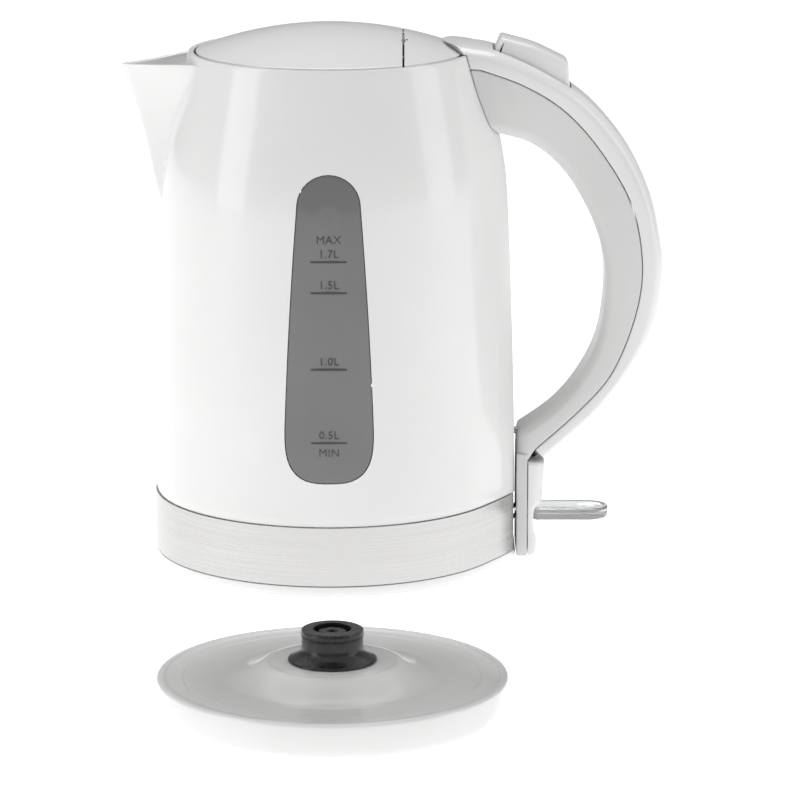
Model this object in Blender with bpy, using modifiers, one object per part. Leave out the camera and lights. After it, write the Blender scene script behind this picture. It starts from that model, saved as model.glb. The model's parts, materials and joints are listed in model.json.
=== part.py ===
"""Cordless electric kettle, lifted clear of its round power base.

All sizes are in millimetres and are turned into metres where a mesh is made. +Z is up, the table is
z = 0 and the Z axis runs up through the middle of the base and of the jug. The spout points to -X,
the handle to +X, and the water windows face -Y and +Y. Heights on the jug are measured from the
bottom of its skirt, and heights on the base from the table.
"""

import math

import bmesh
import bpy
from mathutils import Matrix, Vector

MM = 0.001
GAP = 0.3  # clearance between neighbouring pieces
ROUND = 36  # facets of a large turned piece
MEDIUM = 24
SMALL = 12

# Jug: its widest radius and its rim drive the size of everything around it
BODY_RADIUS = 73.5
BODY_RIM = 214.0
BODY_WALL = 2.5
BODY_BOTTOM = 4.9
PROFILE_RIM = 214.0  # rim height for which the heights in the profiles are given
STRETCH_LOW = 60.0  # a taller jug grows between these two heights
STRETCH_HIGH = 150.0
BODY_PROFILE = (  # (height, radius past the widest)
    (27.0, 0.0),
    (70.0, -0.6),
    (113.0, -1.9),
    (154.0, -3.6),
    (169.0, -4.9),
    (184.0, -7.8),
    (197.0, -11.0),
    (214.0, -14.8),
)
FAIRING_CREASES = ((30.0, 0.0), (20.0, 1.3), (10.0, 4.3))  # degrees from +X, and how far it stands out
FAIRING_FADE = 32.0  # height below the rim over which it dies out
BAND_TOP = 29.4
BAND_THICKNESS = 0.8
BAND_PROUD = 0.5
SKIRT_HEIGHT = 4.6
SKIRT_INSIDE = 4.5

# Power base
BASE_RADIUS = BODY_RADIUS + 1.5
BASE_RIM_HEIGHT = 17.0
BASE_WALL = 2.2
BASE_GROOVE = 0.7
BASE_DOME_RISE = 6.0
BASE_DOME_RADIUS = 0.62 * BASE_RADIUS
BASE_PLATEAU_RADIUS = 0.37 * BASE_RADIUS
UNDERPLATE_BOTTOM = 1.0
UNDERPLATE_THICKNESS = 2.4
FOOT_RADIUS = 6.0
FOOT_CIRCLE = BASE_RADIUS - 17.0
FOOT_HEIGHT = 2.0
GLAND_HEIGHT = 9.0
GLAND_RADIUS = 4.0
TERMINAL_HALF = 9.0
TERMINAL_START = 26.0
TERMINAL_DEPTH = 10.0
LEAD_RADIUS = 0.8

# Connector of the base and socket of the jug
CONNECTOR_RADIUS = 13.4
CONNECTOR_HEIGHT = 20.0  # above the rim of the base
CONNECTOR_FLANGE = CONNECTOR_RADIUS + 5.6
CONNECTOR_BARREL = CONNECTOR_RADIUS + 2.6
CONNECTOR_CUP = 0.6 * CONNECTOR_RADIUS
CONNECTOR_CUP_DEPTH = 10.0
HUB_RADIUS = 0.45 * CONNECTOR_RADIUS
HUB_HOLE = 2.1
SOCKET_CLEARANCE = 1.0
DOCK_TRAVEL = 53.0
LIFT = BASE_RIM_HEIGHT + 0.5 + DOCK_TRAVEL  # height of the skirt above the table

# Spout
SPOUT_KEEL = (  # (height, reach past the widest radius)
    (150.0, -3.5),
    (158.5, -1.0),
    (174.5, 2.3),
    (191.0, 6.5),
    (209.0, 12.9),
)
SPOUT_HALF_WIDTH = 23.5
SPOUT_WALL = 2.0
POUR_BOTTOM = 173.0
POUR_TOP = 203.0

# Water windows
WINDOW_BOTTOM = 47.6
WINDOW_TOP = BODY_RIM - 40.4
WINDOW_TOP_HALF = 12.9
WINDOW_LOW_HALF = 18.1
WINDOW_LOW_RISE = 21.5
WINDOW_SIDE_BULGE = 0.5
WINDOW_THICKNESS = 2.0
WINDOW_INSET = 0.25

# Heater
PLATE_TOP = 31.0
PLATE_RADIUS = BODY_RADIUS - 6.0
PLATE_THICKNESS = 1.0
PLATE_SEAL_LIP = 1.6
SPREADER_RADIUS = PLATE_RADIUS - 12.5
SPREADER_THICKNESS = 2.6
ELEMENT_CIRCLE = SPREADER_RADIUS - 13.0
ELEMENT_TUBE = 3.4
ELEMENT_GAP_ANGLE = 18.0
CONTROLLER_RADIUS = CONNECTOR_RADIUS + 16.6
CONTROLLER_BOTTOM = 12.0
SOCKET_DEPTH = 9.4
COVER_SCREW_CIRCLE = BODY_RADIUS - 12.5

# Filter behind the spout
FILTER_HALF = 16.0
FILTER_BOTTOM = BODY_RIM - 46.0
FILTER_TOP = BODY_RIM - 9.4
FILTER_BORDER = 3.0
FILTER_BARS = 6

# Lid
LID_RADIUS = BODY_RADIUS - 18.0
LID_RISE = 10.5
LID_WALL = 2.2
LID_SKIRT = 4.5
LID_LINER_RADIUS = LID_RADIUS - 3.5
SEAM_X = 30.0
SEAM_GAP = 0.8
HINGE_HEIGHT = BODY_RIM + 6.0
HINGE_BARREL = 1.6
HINGE_PIN = 0.7
HINGE_MIDDLE = 5.6  # half the width of the cap's two knuckles together
HINGE_HALF = 16.0

# Handle, as (X past the jug's widest radius, height) along each edge, from the lid down to the switch
HANDLE_OUTER = (
    (-27.5, 218.6),
    (-15.9, 217.5),
    (-5.7, 215.6),
    (11.1, 208.4),
    (27.8, 198.6),
    (39.7, 187.6),
    (50.7, 172.8),
    (59.1, 154.8),
    (63.8, 134.1),
    (64.5, 121.0),
    (61.1, 98.3),
    (50.9, 79.5),
    (37.0, 61.3),
    (16.3, 43.0),
)
HANDLE_SEAM = (
    (-12.0, 208.2),
    (6.2, 201.2),
    (23.1, 190.3),
    (38.4, 173.0),
    (50.9, 151.0),
    (55.5, 126.2),
    (52.8, 104.5),
    (43.7, 81.0),
    (30.5, 65.0),
    (11.7, 47.8),
)
HANDLE_INNER = (
    (-2.7, 181.0),
    (10.4, 176.2),
    (23.3, 164.6),
    (33.7, 147.0),
    (39.1, 130.5),
    (40.2, 115.0),
    (37.5, 95.0),
    (30.1, 78.8),
    (19.0, 65.2),
    (4.7, 54.8),
)
HANDLE_HALF_WIDTH = 14.0
HANDLE_ROOT_EXTRA = 4.0
HANDLE_CHANNEL_HALF = 8.0
HANDLE_END_HEIGHT = 42.8
STEAM_TUBE_RADIUS = 2.6
HANDLE_SCREW = 10.0
HANDLE_SCREW_HEIGHTS = (BODY_RIM - 28.0, 53.0)

# Lid button and latch
BUTTON_FRONT = BODY_RADIUS - 6.3
BUTTON_BACK = BODY_RADIUS + 25.4
BUTTON_HALF_WIDTH = 9.5
BUTTON_DEPTH = 3.4
BUTTON_TRAVEL = 2.5
BUTTON_TILT = 19.4  # degrees, its top leans back along the handle
LATCH_TRAVEL = 2.0
LATCH_HALF_WIDTH = 4.0
LATCH_THICKNESS = 1.8
LATCH_RISE = 1.4  # top of the latch bar above the rim

# Foot of the handle and the switch housing behind it
FOOT_FRONT = BODY_RADIUS + 3.9
HOUSING_FRONT = FOOT_FRONT + 4.9
HOUSING_BACK = FOOT_FRONT + 12.0
HOUSING_HALF_WIDTH = 15.0
HOUSING_BOTTOM = 2.0
HOUSING_TOP = 42.4
HOUSING_WALL = 1.8
HOUSING_CORNER = 6.6
LEVER_REACH = 36.2
LEVER_HALF_WIDTH = 9.0
LEVER_ROOT_HALF = 5.5
LEVER_THICKNESS = 4.6
LEVER_HEIGHT = 18.3
LEVER_PIVOT_X = FOOT_FRONT + 2.8
LEVER_PIN = 1.2
ROCKER_PIN = 0.8
ROCKER_PIVOT_HEIGHT = 35.0


# ---------------------------------------------------------------- helpers


def clear_scene():
    for obj in list(bpy.data.objects):
        bpy.data.objects.remove(obj)


def new_collection(name):
    found = bpy.data.collections.new(name)
    bpy.context.scene.collection.children.link(found)
    return found


def material(name, colour, roughness, metallic=0.0, alpha=1.0):
    made = bpy.data.materials.new(name)
    made.use_nodes = True
    shader = made.node_tree.nodes["Principled BSDF"]
    shader.inputs["Base Color"].default_value = (*colour, 1.0)
    shader.inputs["Roughness"].default_value = roughness
    shader.inputs["Metallic"].default_value = metallic
    shader.inputs["Alpha"].default_value = alpha
    return made


def stretched(height):
    """A height of the profiles, moved where the rim isn't at the height they are given for."""
    share = min(max((height - STRETCH_LOW) / (STRETCH_HIGH - STRETCH_LOW), 0.0), 1.0)
    return height + (BODY_RIM - PROFILE_RIM) * share


def on_handle(points):
    """Points of the handle, placed beside this jug."""
    return [(BODY_RADIUS + reach, stretched(height)) for reach, height in points]


def smoothstep(low, high, value):
    share = min(max((value - low) / (high - low), 0.0), 1.0)
    return share * share * (3.0 - 2.0 * share)


def along(points, value):
    """Second number of the smooth curve through points, at a given first number."""
    if value <= points[0][0]:
        return points[0][1]
    for before, after in zip(points, points[1:]):
        if value <= after[0]:
            break
    else:
        return points[-1][1]
    index = points.index(before)
    ahead = points[min(index + 2, len(points) - 1)]
    behind = points[max(index - 1, 0)]
    span = after[0] - before[0]
    slope_in = (after[1] - behind[1]) / (after[0] - behind[0])
    slope_out = (ahead[1] - before[1]) / (ahead[0] - before[0])
    t = (value - before[0]) / span
    return (
        (2 * t**3 - 3 * t**2 + 1) * before[1]
        + (t**3 - 2 * t**2 + t) * span * slope_in
        + (3 * t**2 - 2 * t**3) * after[1]
        + (t**3 - t**2) * span * slope_out
    )


def smooth_path(points, pieces):
    """Points on a Catmull-Rom curve through the given ones, with pieces stretches between two of them."""
    ends = [points[0], *points, points[-1]]
    path = []
    for p0, p1, p2, p3 in zip(ends, ends[1:], ends[2:], ends[3:]):
        for step in range(pieces):
            t = step / pieces
            path.append(
                tuple(
                    b + 0.5 * t * (c - a + t * (2 * a - 5 * b + 4 * c - d + t * (3 * b - a - 3 * c + d)))
                    for a, b, c, d in zip(p0, p1, p2, p3)
                )
            )
    return [*path, tuple(points[-1])]


def shifted(path, distance):
    """The path moved sideways, to its left where distance is positive."""
    moved = []
    for index, point in enumerate(path):
        before = path[max(index - 1, 0)]
        after = path[min(index + 1, len(path) - 1)]
        along_path = Vector((after[0] - before[0], after[1] - before[1])).normalized()
        moved.append((point[0] - along_path.y * distance, point[1] + along_path.x * distance))
    return moved


def finish_object(name, mesh, look, parent, location=(0, 0, 0)):
    """A visible piece, or a cutter where it has no look."""
    obj = bpy.data.objects.new(name, mesh)
    if look is None:
        cutters.objects.link(obj)
        obj.hide_render = True
        obj.display_type = "WIRE"
    else:
        pieces.objects.link(obj)
        mesh.materials.append(look)
    place_under(obj, parent, location)
    return obj


def place_under(obj, parent, location=(0, 0, 0)):
    """Parents a piece to the empty on its joint; its place is still measured from the jug or the base."""
    obj.parent = parent
    obj.location = Vector(location) * MM - Vector(parent["pivot"])


def mesh_of(bm, name, smooth_angle=30.0):
    bmesh.ops.recalc_face_normals(bm, faces=bm.faces[:])
    mesh = bpy.data.meshes.new(name)
    bm.to_mesh(mesh)
    bm.free()
    mesh.shade_smooth()
    mesh.set_sharp_from_angle(angle=math.radians(smooth_angle))
    return mesh


def turned(name, profile, look, parent, steps=ROUND, location=(0, 0, 0), rotation=None):
    """A closed profile of (radius, height), down its outer side and up its inner side, turned about Z."""
    bm = bmesh.new()
    points = [bm.verts.new((r * MM, 0, z * MM)) for r, z in profile]
    for first, second in zip(points, points[1:]):
        bm.edges.new((first, second))
    if profile[0][0] > 0 or profile[-1][0] > 0:
        bm.edges.new((points[-1], points[0]))
    mesh = bpy.data.meshes.new(name)
    bm.to_mesh(mesh)
    bm.free()
    obj = finish_object(name, mesh, look, parent, location)
    if rotation:
        obj.rotation_euler = rotation
    screw = obj.modifiers.new("turn", "SCREW")
    screw.steps = screw.render_steps = steps
    screw.use_merge_vertices = True
    screw.merge_threshold = 0.00001
    screw.use_smooth_shade = True
    return obj


def box(name, low, high, look, parent, bevel=0.0, location=(0, 0, 0)):
    bm = bmesh.new()
    bmesh.ops.create_cube(bm, size=1.0)
    size = [(b - a) * MM for a, b in zip(low, high)]
    centre = [(a + b) / 2 * MM for a, b in zip(low, high)]
    bmesh.ops.scale(bm, vec=size, verts=bm.verts)
    bmesh.ops.translate(bm, vec=centre, verts=bm.verts)
    obj = finish_object(name, mesh_of(bm, name), look, parent, location)
    if bevel:
        rounded(obj, bevel)
    return obj


def rounded(obj, width, segments=2):
    bevel = obj.modifiers.new("rounding", "BEVEL")
    bevel.width = width * MM
    bevel.segments = segments
    bevel.limit_method = "ANGLE"
    bevel.angle_limit = math.radians(40)


def rod(name, radius, start, end, look, parent, steps=SMALL, location=(0, 0, 0)):
    """A round bar between two points."""
    start, end = Vector(start) * MM, Vector(end) * MM
    bm = bmesh.new()
    bmesh.ops.create_cone(
        bm,
        cap_ends=True,
        segments=steps,
        radius1=radius * MM,
        radius2=radius * MM,
        depth=(end - start).length,
    )
    turn = Vector((0, 0, 1)).rotation_difference(end - start).to_matrix().to_4x4()
    bmesh.ops.transform(bm, matrix=Matrix.Translation((start + end) / 2) @ turn, verts=bm.verts)
    return finish_object(name, mesh_of(bm, name), look, parent, location)


def prism(name, outline, low_y, high_y, look, parent, plane="XZ", location=(0, 0, 0)):
    """A flat outline in the XZ or XY plane, thickened along the third axis from low to high."""
    bm = bmesh.new()
    if plane == "XZ":
        ring = [bm.verts.new((a * MM, low_y * MM, b * MM)) for a, b in outline]
        push = (0, (high_y - low_y) * MM, 0)
    else:
        ring = [bm.verts.new((a * MM, b * MM, low_y * MM)) for a, b in outline]
        push = (0, 0, (high_y - low_y) * MM)
    face = bm.faces.new(ring)
    side = bmesh.ops.extrude_face_region(bm, geom=[face])
    moved = [part for part in side["geom"] if isinstance(part, bmesh.types.BMVert)]
    bmesh.ops.translate(bm, vec=push, verts=moved)
    return finish_object(name, mesh_of(bm, name), look, parent, location)


def loft(name, rings, look, parent, closed=False):
    """A solid through rings of (x, y, z) of equal length. Closed joins the last ring to the first."""
    bm = bmesh.new()
    made = [[bm.verts.new(Vector(point) * MM) for point in ring] for ring in rings]
    pairs = list(zip(made, made[1:]))
    if closed:
        pairs.append((made[-1], made[0]))
    for low, high in pairs:
        for index in range(len(low)):
            after = (index + 1) % len(low)
            bm.faces.new((low[index], low[after], high[after], high[index]))
    if not closed:
        bm.faces.new(made[0])
        bm.faces.new(made[-1])
    return finish_object(name, mesh_of(bm, name), look, parent)


def tube(name, points, radius, look, parent, resolution=2):
    curve = bpy.data.curves.new(name, "CURVE")
    curve.dimensions = "3D"
    curve.bevel_depth = radius * MM
    curve.bevel_resolution = resolution
    curve.use_fill_caps = True
    spline = curve.splines.new("POLY")
    spline.points.add(len(points) - 1)
    for target, point in zip(spline.points, points):
        target.co = (*(Vector(point) * MM), 1.0)
    curve.materials.append(look)
    obj = bpy.data.objects.new(name, curve)
    pieces.objects.link(obj)
    place_under(obj, parent)
    return obj


def change(obj, other, operation="DIFFERENCE"):
    boolean = obj.modifiers.new(other.name, "BOOLEAN")
    boolean.operation = operation
    boolean.object = other


def screw_profile(head_radius, head, shank_radius, length):
    """A pan-head screw, head at the bottom, its shank pointing up from z = 0."""
    return (
        (0, length),
        (shank_radius, length),
        (shank_radius, 0),
        (head_radius, 0),
        (head_radius * 0.8, -head),
        (0, -head),
    )


# ---------------------------------------------------------------- shared shapes


JUG_PROFILE = [(stretched(height), past) for height, past in BODY_PROFILE]
KEEL = [(stretched(height), past) for height, past in SPOUT_KEEL]


def body_radius(height, angle=math.pi):
    """Outer radius of the jug at a height and at an angle from +X, with the fairing under the handle."""
    base = BODY_RADIUS + along(JUG_PROFILE, height)
    fade = min(max((BODY_RIM - height) / FAIRING_FADE, 0.0), 1.0) ** 1.5
    turn = math.degrees(math.acos(math.cos(angle)))
    corners = [(base + rise * fade, math.radians(crease)) for crease, rise in FAIRING_CREASES]
    corners.append((corners[-1][0], -corners[-1][1]))
    for (first, wide), (second, narrow) in zip(corners, corners[1:]):
        if math.degrees(narrow) <= turn <= math.degrees(wide):
            across = first * second * math.sin(wide - narrow)
            turn = math.radians(turn)
            return across / (first * math.sin(wide - turn) + second * math.sin(turn - narrow))
    return base


def jug_ring(height, offset=0.0):
    """Points round the jug at a height, moved outwards by an offset."""
    ring = []
    for step in range(ROUND):
        angle = 2 * math.pi * step / ROUND
        radius = body_radius(height, angle) + offset
        ring.append((radius * math.cos(angle), radius * math.sin(angle), height))
    return ring


def lid_height(x, y=0.0):
    """Height of the lid's upper surface."""
    share = (x * x + y * y) / LID_RADIUS**2
    return BODY_RIM + GAP + (LID_RISE - GAP) * (1.0 - share)


def window_outline(inset, steps=8):
    """Outline (X, height) of a water window, a tall rounded tongue that widens downwards."""
    half_top, half_low = WINDOW_TOP_HALF - inset, WINDOW_LOW_HALF - inset
    top_centre = WINDOW_TOP - inset - half_top
    low_centre = WINDOW_BOTTOM + inset + WINDOW_LOW_RISE
    right = []
    for step in range(steps + 1):
        turn = math.pi / 2 * (1.0 - step / steps)
        right.append((half_top * math.cos(turn), top_centre + half_top * math.sin(turn)))
    right.append(((half_top + half_low) / 2 + WINDOW_SIDE_BULGE, (top_centre + low_centre) / 2))
    for step in range(steps + 1):
        turn = math.pi / 2 * step / steps
        across = half_low * abs(math.cos(turn)) ** (2 / 3)
        right.append((across, low_centre - WINDOW_LOW_RISE * math.sin(turn) ** (2 / 3)))
    left = [(-x, z) for x, z in reversed(right[1:-1])]
    return right + left


def dome_profile(steps=5):
    """Section of the lid's shell: over the dome, down its skirt and back up underneath."""
    radius, wall = LID_RADIUS, LID_WALL
    outer = [(radius * step / steps, lid_height(radius * step / steps)) for step in range(steps + 1)]
    inner_radius = radius - wall
    inner = [
        (inner_radius * step / steps, lid_height(inner_radius * step / steps) - wall)
        for step in reversed(range(steps + 1))
    ]
    low = BODY_RIM - LID_SKIRT
    return [*outer, (radius - 0.9, low), (inner_radius - 0.9, low), *inner]


# ---------------------------------------------------------------- jug


def spout_section(height, wall, back_radius):
    """Ring of the V-shaped spout at a height: its keel, its sides and the arc where it meets the jug."""
    share = (height - KEEL[0][0]) / (KEEL[-1][0] - KEEL[0][0])
    half = 0.6 + (SPOUT_HALF_WIDTH - 0.6) * min(max(share, 0.0), 1.0) ** 2.3
    keel = BODY_RADIUS + along(KEEL, height)
    radius = body_radius(min(height, BODY_RIM))
    join = math.sqrt(radius**2 - half**2)
    slant = math.atan2(half, max(keel - join, 1.0))
    tip = keel - wall / math.sin(slant) if wall else keel
    reach = max(half - wall / math.cos(slant), 0.25) if wall else half
    foot_x = math.sqrt(back_radius**2 - reach**2)
    blunt = min(1.6, (tip - foot_x) * 0.3)
    side = [(-tip, blunt * 0.35), (-(tip - blunt * 0.4), blunt), (-foot_x, reach)]
    arc = [
        (-math.sqrt(back_radius**2 - (reach * part) ** 2), reach * part) for part in (0.6, 0.2, -0.2, -0.6)
    ]
    mirrored = [(x, -y) for x, y in reversed(side)]
    return [(x, y, height) for x, y in [*side, *arc, *mirrored]]


def make_body_shell():
    band_top = BAND_TOP + GAP
    band_step = BAND_PROUD - BAND_THICKNESS - GAP
    levels = [band_top, *[z for z, _ in JUG_PROFILE[1:-1]], BODY_RIM - 9.0, BODY_RIM - 1.0]
    outer = [jug_ring(BODY_BOTTOM, band_step), jug_ring(band_top - 0.01, band_step)]
    outer += [jug_ring(z) for z in levels] + [jug_ring(BODY_RIM, -0.6)]
    inner = [jug_ring(z, -BODY_WALL) for z in (BODY_RIM, *reversed(levels), BODY_BOTTOM)]
    shell = loft("body_shell", outer + inner, white, jug, closed=True)
    heights = [stretched(z) for z in (150.5, 158.0, 166.0, 174.5, 183.0, 191.0, 200.0, 209.0)]
    wedge = loft(
        "cut_spout_outside",
        [spout_section(z, 0.0, body_radius(z) - BODY_WALL / 2) for z in heights],
        None,
        jug,
    )
    change(shell, wedge, "UNION")
    heights = [stretched(z) for z in (172.0, 180.0, 191.0, 200.0, 209.5)]
    hollow = loft(
        "cut_spout_inside",
        [spout_section(z, SPOUT_WALL, body_radius(z) + 0.01) for z in heights],
        None,
        jug,
    )
    change(shell, hollow)
    heights = [stretched(z) for z in (POUR_BOTTOM, (POUR_BOTTOM + POUR_TOP) / 2, POUR_TOP)]
    pour = loft(
        "cut_pour_hole",
        [spout_section(z, SPOUT_WALL, body_radius(z) - 2 * BODY_WALL) for z in heights],
        None,
        jug,
    )
    change(shell, pour)
    beyond = BODY_RADIUS + 20
    window = prism("cut_window", window_outline(0.0), -beyond, beyond, None, jug)
    change(shell, window)
    steam_height = BODY_RIM - 14.0
    steam = rod(
        "cut_steam_hole",
        STEAM_TUBE_RADIUS + 2 * GAP,
        (BODY_RADIUS - 23, 0, steam_height),
        (BODY_RADIUS + 6, 0, steam_height),
        None,
        jug,
    )
    change(shell, steam)
    wiring = box("cut_wiring", (BODY_RADIUS - 8, -9, 8), (BODY_RADIUS + 7, 9, BAND_TOP), None, jug)
    change(shell, wiring)
    notch_half = LATCH_HALF_WIDTH + 1.2
    notch_floor = BODY_RIM + LATCH_RISE - LATCH_THICKNESS - LATCH_TRAVEL - 2.2
    notch = box(
        "cut_rim_notch",
        (BODY_RADIUS - 23, -notch_half, notch_floor),
        (BODY_RADIUS - 4, notch_half, BODY_RIM + 6),
        None,
        jug,
    )
    change(shell, notch)
    return shell


def make_windows():
    near, far = WINDOW_LOW_HALF, BODY_RADIUS + 20
    heights = (WINDOW_BOTTOM - 3, *[z for z, _ in JUG_PROFILE[1:5]], WINDOW_TOP + 3)
    for name, low_y, high_y in (("water_window_front", -far, -near), ("water_window_rear", near, far)):
        outer = [(body_radius(z) - WINDOW_INSET, z) for z in reversed(heights)]
        inner = [(body_radius(z) - WINDOW_INSET - WINDOW_THICKNESS, z) for z in heights]
        panel = turned(name, outer + inner, smoke, jug)
        outline = prism("cut_" + name, window_outline(GAP), low_y, high_y, None, jug)
        change(panel, outline, "INTERSECT")


def make_band_and_skirt():
    inside = BAND_PROUD - BAND_THICKNESS
    band = loft(
        "trim_band",
        [
            jug_ring(BODY_BOTTOM, BAND_PROUD),
            jug_ring(BAND_TOP, BAND_PROUD),
            jug_ring(BAND_TOP, inside),
            jug_ring(BODY_BOTTOM, inside),
        ],
        steel,
        jug,
        closed=True,
    )
    beside = HOUSING_HALF_WIDTH + GAP
    gap = box("cut_band_gap", (BODY_RADIUS - 14, -beside, 0), (BODY_RADIUS + 16, beside, 40), None, jug)
    change(band, gap)
    loft(
        "bottom_skirt",
        [
            jug_ring(SKIRT_HEIGHT, BAND_PROUD - 0.1),
            jug_ring(2.4, BAND_PROUD - 0.3),
            jug_ring(0.0, BAND_PROUD - 1.6),
            jug_ring(0.0, -SKIRT_INSIDE),
            jug_ring(SKIRT_HEIGHT, -SKIRT_INSIDE),
        ],
        white,
        jug,
        closed=True,
    )


def make_heater():
    plate_bottom = PLATE_TOP - PLATE_THICKNESS
    turned(
        "heater_plate",
        ((0, PLATE_TOP), (PLATE_RADIUS, PLATE_TOP), (PLATE_RADIUS, plate_bottom), (0, plate_bottom)),
        steel,
        jug,
    )
    inside = body_radius(PLATE_TOP) - BODY_WALL - GAP
    groove = PLATE_RADIUS + GAP
    lip = PLATE_SEAL_LIP
    turned(
        "plate_seal",
        (
            (inside, PLATE_TOP + lip),
            (inside, plate_bottom - lip),
            (groove - 2.0, plate_bottom - lip),
            (groove - 2.0, plate_bottom - GAP),
            (groove, plate_bottom - GAP),
            (groove, PLATE_TOP + lip),
        ),
        silicone,
        jug,
    )
    spreader_top = plate_bottom - GAP
    spreader_bottom = spreader_top - SPREADER_THICKNESS
    turned(
        "heat_spreader",
        (
            (0, spreader_top),
            (SPREADER_RADIUS, spreader_top),
            (SPREADER_RADIUS, spreader_bottom),
            (0, spreader_bottom),
        ),
        aluminium,
        jug,
        steps=MEDIUM,
    )
    top = spreader_bottom - GAP
    centre = top - ELEMENT_TUBE
    steps, turn = 26, 360.0 - 2 * ELEMENT_GAP_ANGLE
    arc = [math.radians(ELEMENT_GAP_ANGLE + turn * step / steps) for step in range(steps + 1)]
    ring = [(ELEMENT_CIRCLE * math.cos(a), ELEMENT_CIRCLE * math.sin(a), centre) for a in arc]
    tube("heating_element", ring, ELEMENT_TUBE, aluminium, jug)
    bore = CONNECTOR_RADIUS + SOCKET_CLEARANCE
    ceiling = CONTROLLER_BOTTOM + SOCKET_DEPTH
    turned(
        "thermostat_controller",
        (
            (0, top),
            (CONTROLLER_RADIUS, top),
            (CONTROLLER_RADIUS, CONTROLLER_BOTTOM + 3),
            (CONTROLLER_RADIUS - 8, CONTROLLER_BOTTOM),
            (bore, CONTROLLER_BOTTOM),
            (bore, ceiling),
            (0, ceiling),
        ),
        black,
        jug,
        steps=MEDIUM,
    )
    ceiling -= GAP
    rod("earth_contact_pin", HUB_HOLE - 0.5, (0, 0, CONTROLLER_BOTTOM + 0.6), (0, 0, ceiling), brass, jug)
    middle = (HUB_RADIUS + CONNECTOR_CUP) / 2
    for name, inner, outer, low in (
        ("line_contact_ring", middle - 0.4, middle + 0.4, CONTROLLER_BOTTOM + 1.5),
        ("neutral_contact_ring", bore - GAP - 0.35, bore - GAP, CONTROLLER_BOTTOM + 1),
    ):
        profile = ((outer, ceiling), (outer, low), (inner, low), (inner, ceiling))
        turned(name, profile, brass, jug, steps=MEDIUM)


def make_bottom_cover():
    outer = body_radius(0.0) - SKIRT_INSIDE - GAP
    hole = CONNECTOR_FLANGE + 2.0
    top = 2.4
    plateau = BASE_DOME_RISE + 2.5
    slope_outer, slope_inner = BASE_DOME_RADIUS + 5.0, BASE_PLATEAU_RADIUS + 4.0
    cover = turned(
        "bottom_cover",
        (
            (outer, top + 2.0),
            (outer, top),
            (slope_outer, top),
            (slope_inner, plateau),
            (hole, plateau),
            (hole, plateau + 2.0),
            (slope_inner, plateau + 2.0),
            (slope_outer, top + 2.0),
        ),
        white,
        jug,
        steps=ROUND,
    )
    circle = COVER_SCREW_CIRCLE
    for number in range(3):
        angle = math.radians(60 + 120 * number)
        place = (circle * math.cos(angle), circle * math.sin(angle), top - 0.5)
        hole_cutter = rod(
            f"cut_cover_screw_{number + 1}", 1.6, (place[0], place[1], 0), (place[0], place[1], 9), None, jug
        )
        change(cover, hole_cutter)
        turned(
            f"cover_screw_{number + 1}",
            screw_profile(3.0, 1.6, 1.3, 8.0),
            steel,
            jug,
            steps=12,
            location=place,
        )


def make_filter():
    half, low, high, border = FILTER_HALF, FILTER_BOTTOM, FILTER_TOP, FILTER_BORDER
    inside = min(body_radius(low), body_radius(high)) - BODY_WALL
    plane = 0.5 + GAP - math.sqrt(inside**2 - half**2)
    frame = box("filter_frame", (plane, -half, low), (plane + 2.0, half, high), white, filter_slide)
    opening = box(
        "cut_filter_opening",
        (plane - 3, -half + border, low + border),
        (plane + 5, half - border, high - border),
        None,
        filter_slide,
    )
    change(frame, opening)
    border += GAP
    gauze = box(
        "filter_mesh",
        (plane + 0.7, -half + border, low + border),
        (plane + 1.3, half - border, high - border),
        steel,
        filter_slide,
    )
    pitch = 2 * (half - border) / FILTER_BARS
    for number in range(FILTER_BARS):
        centre = -half + border + pitch * (number + 0.5)
        slot = box(
            f"cut_filter_slot_{number + 1}",
            (plane - 1, centre - pitch * 0.3, low + 2 * border),
            (plane + 3, centre + pitch * 0.3, high - 2 * border),
            None,
            filter_slide,
        )
        change(gauze, slot)


# ---------------------------------------------------------------- lid


def half_space(name, low_x, high_x, parent):
    far = LID_RADIUS + 20
    return box(name, (low_x, -far, BODY_RIM - 24), (high_x, far, BODY_RIM + 26), None, parent)


def barrel(name, radius, low_y, high_y, look, parent):
    """A round bar along the lid's hinge line."""
    return rod(name, radius, (SEAM_X, low_y, HINGE_HEIGHT), (SEAM_X, high_y, HINGE_HEIGHT), look, parent, steps=20)


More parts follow.
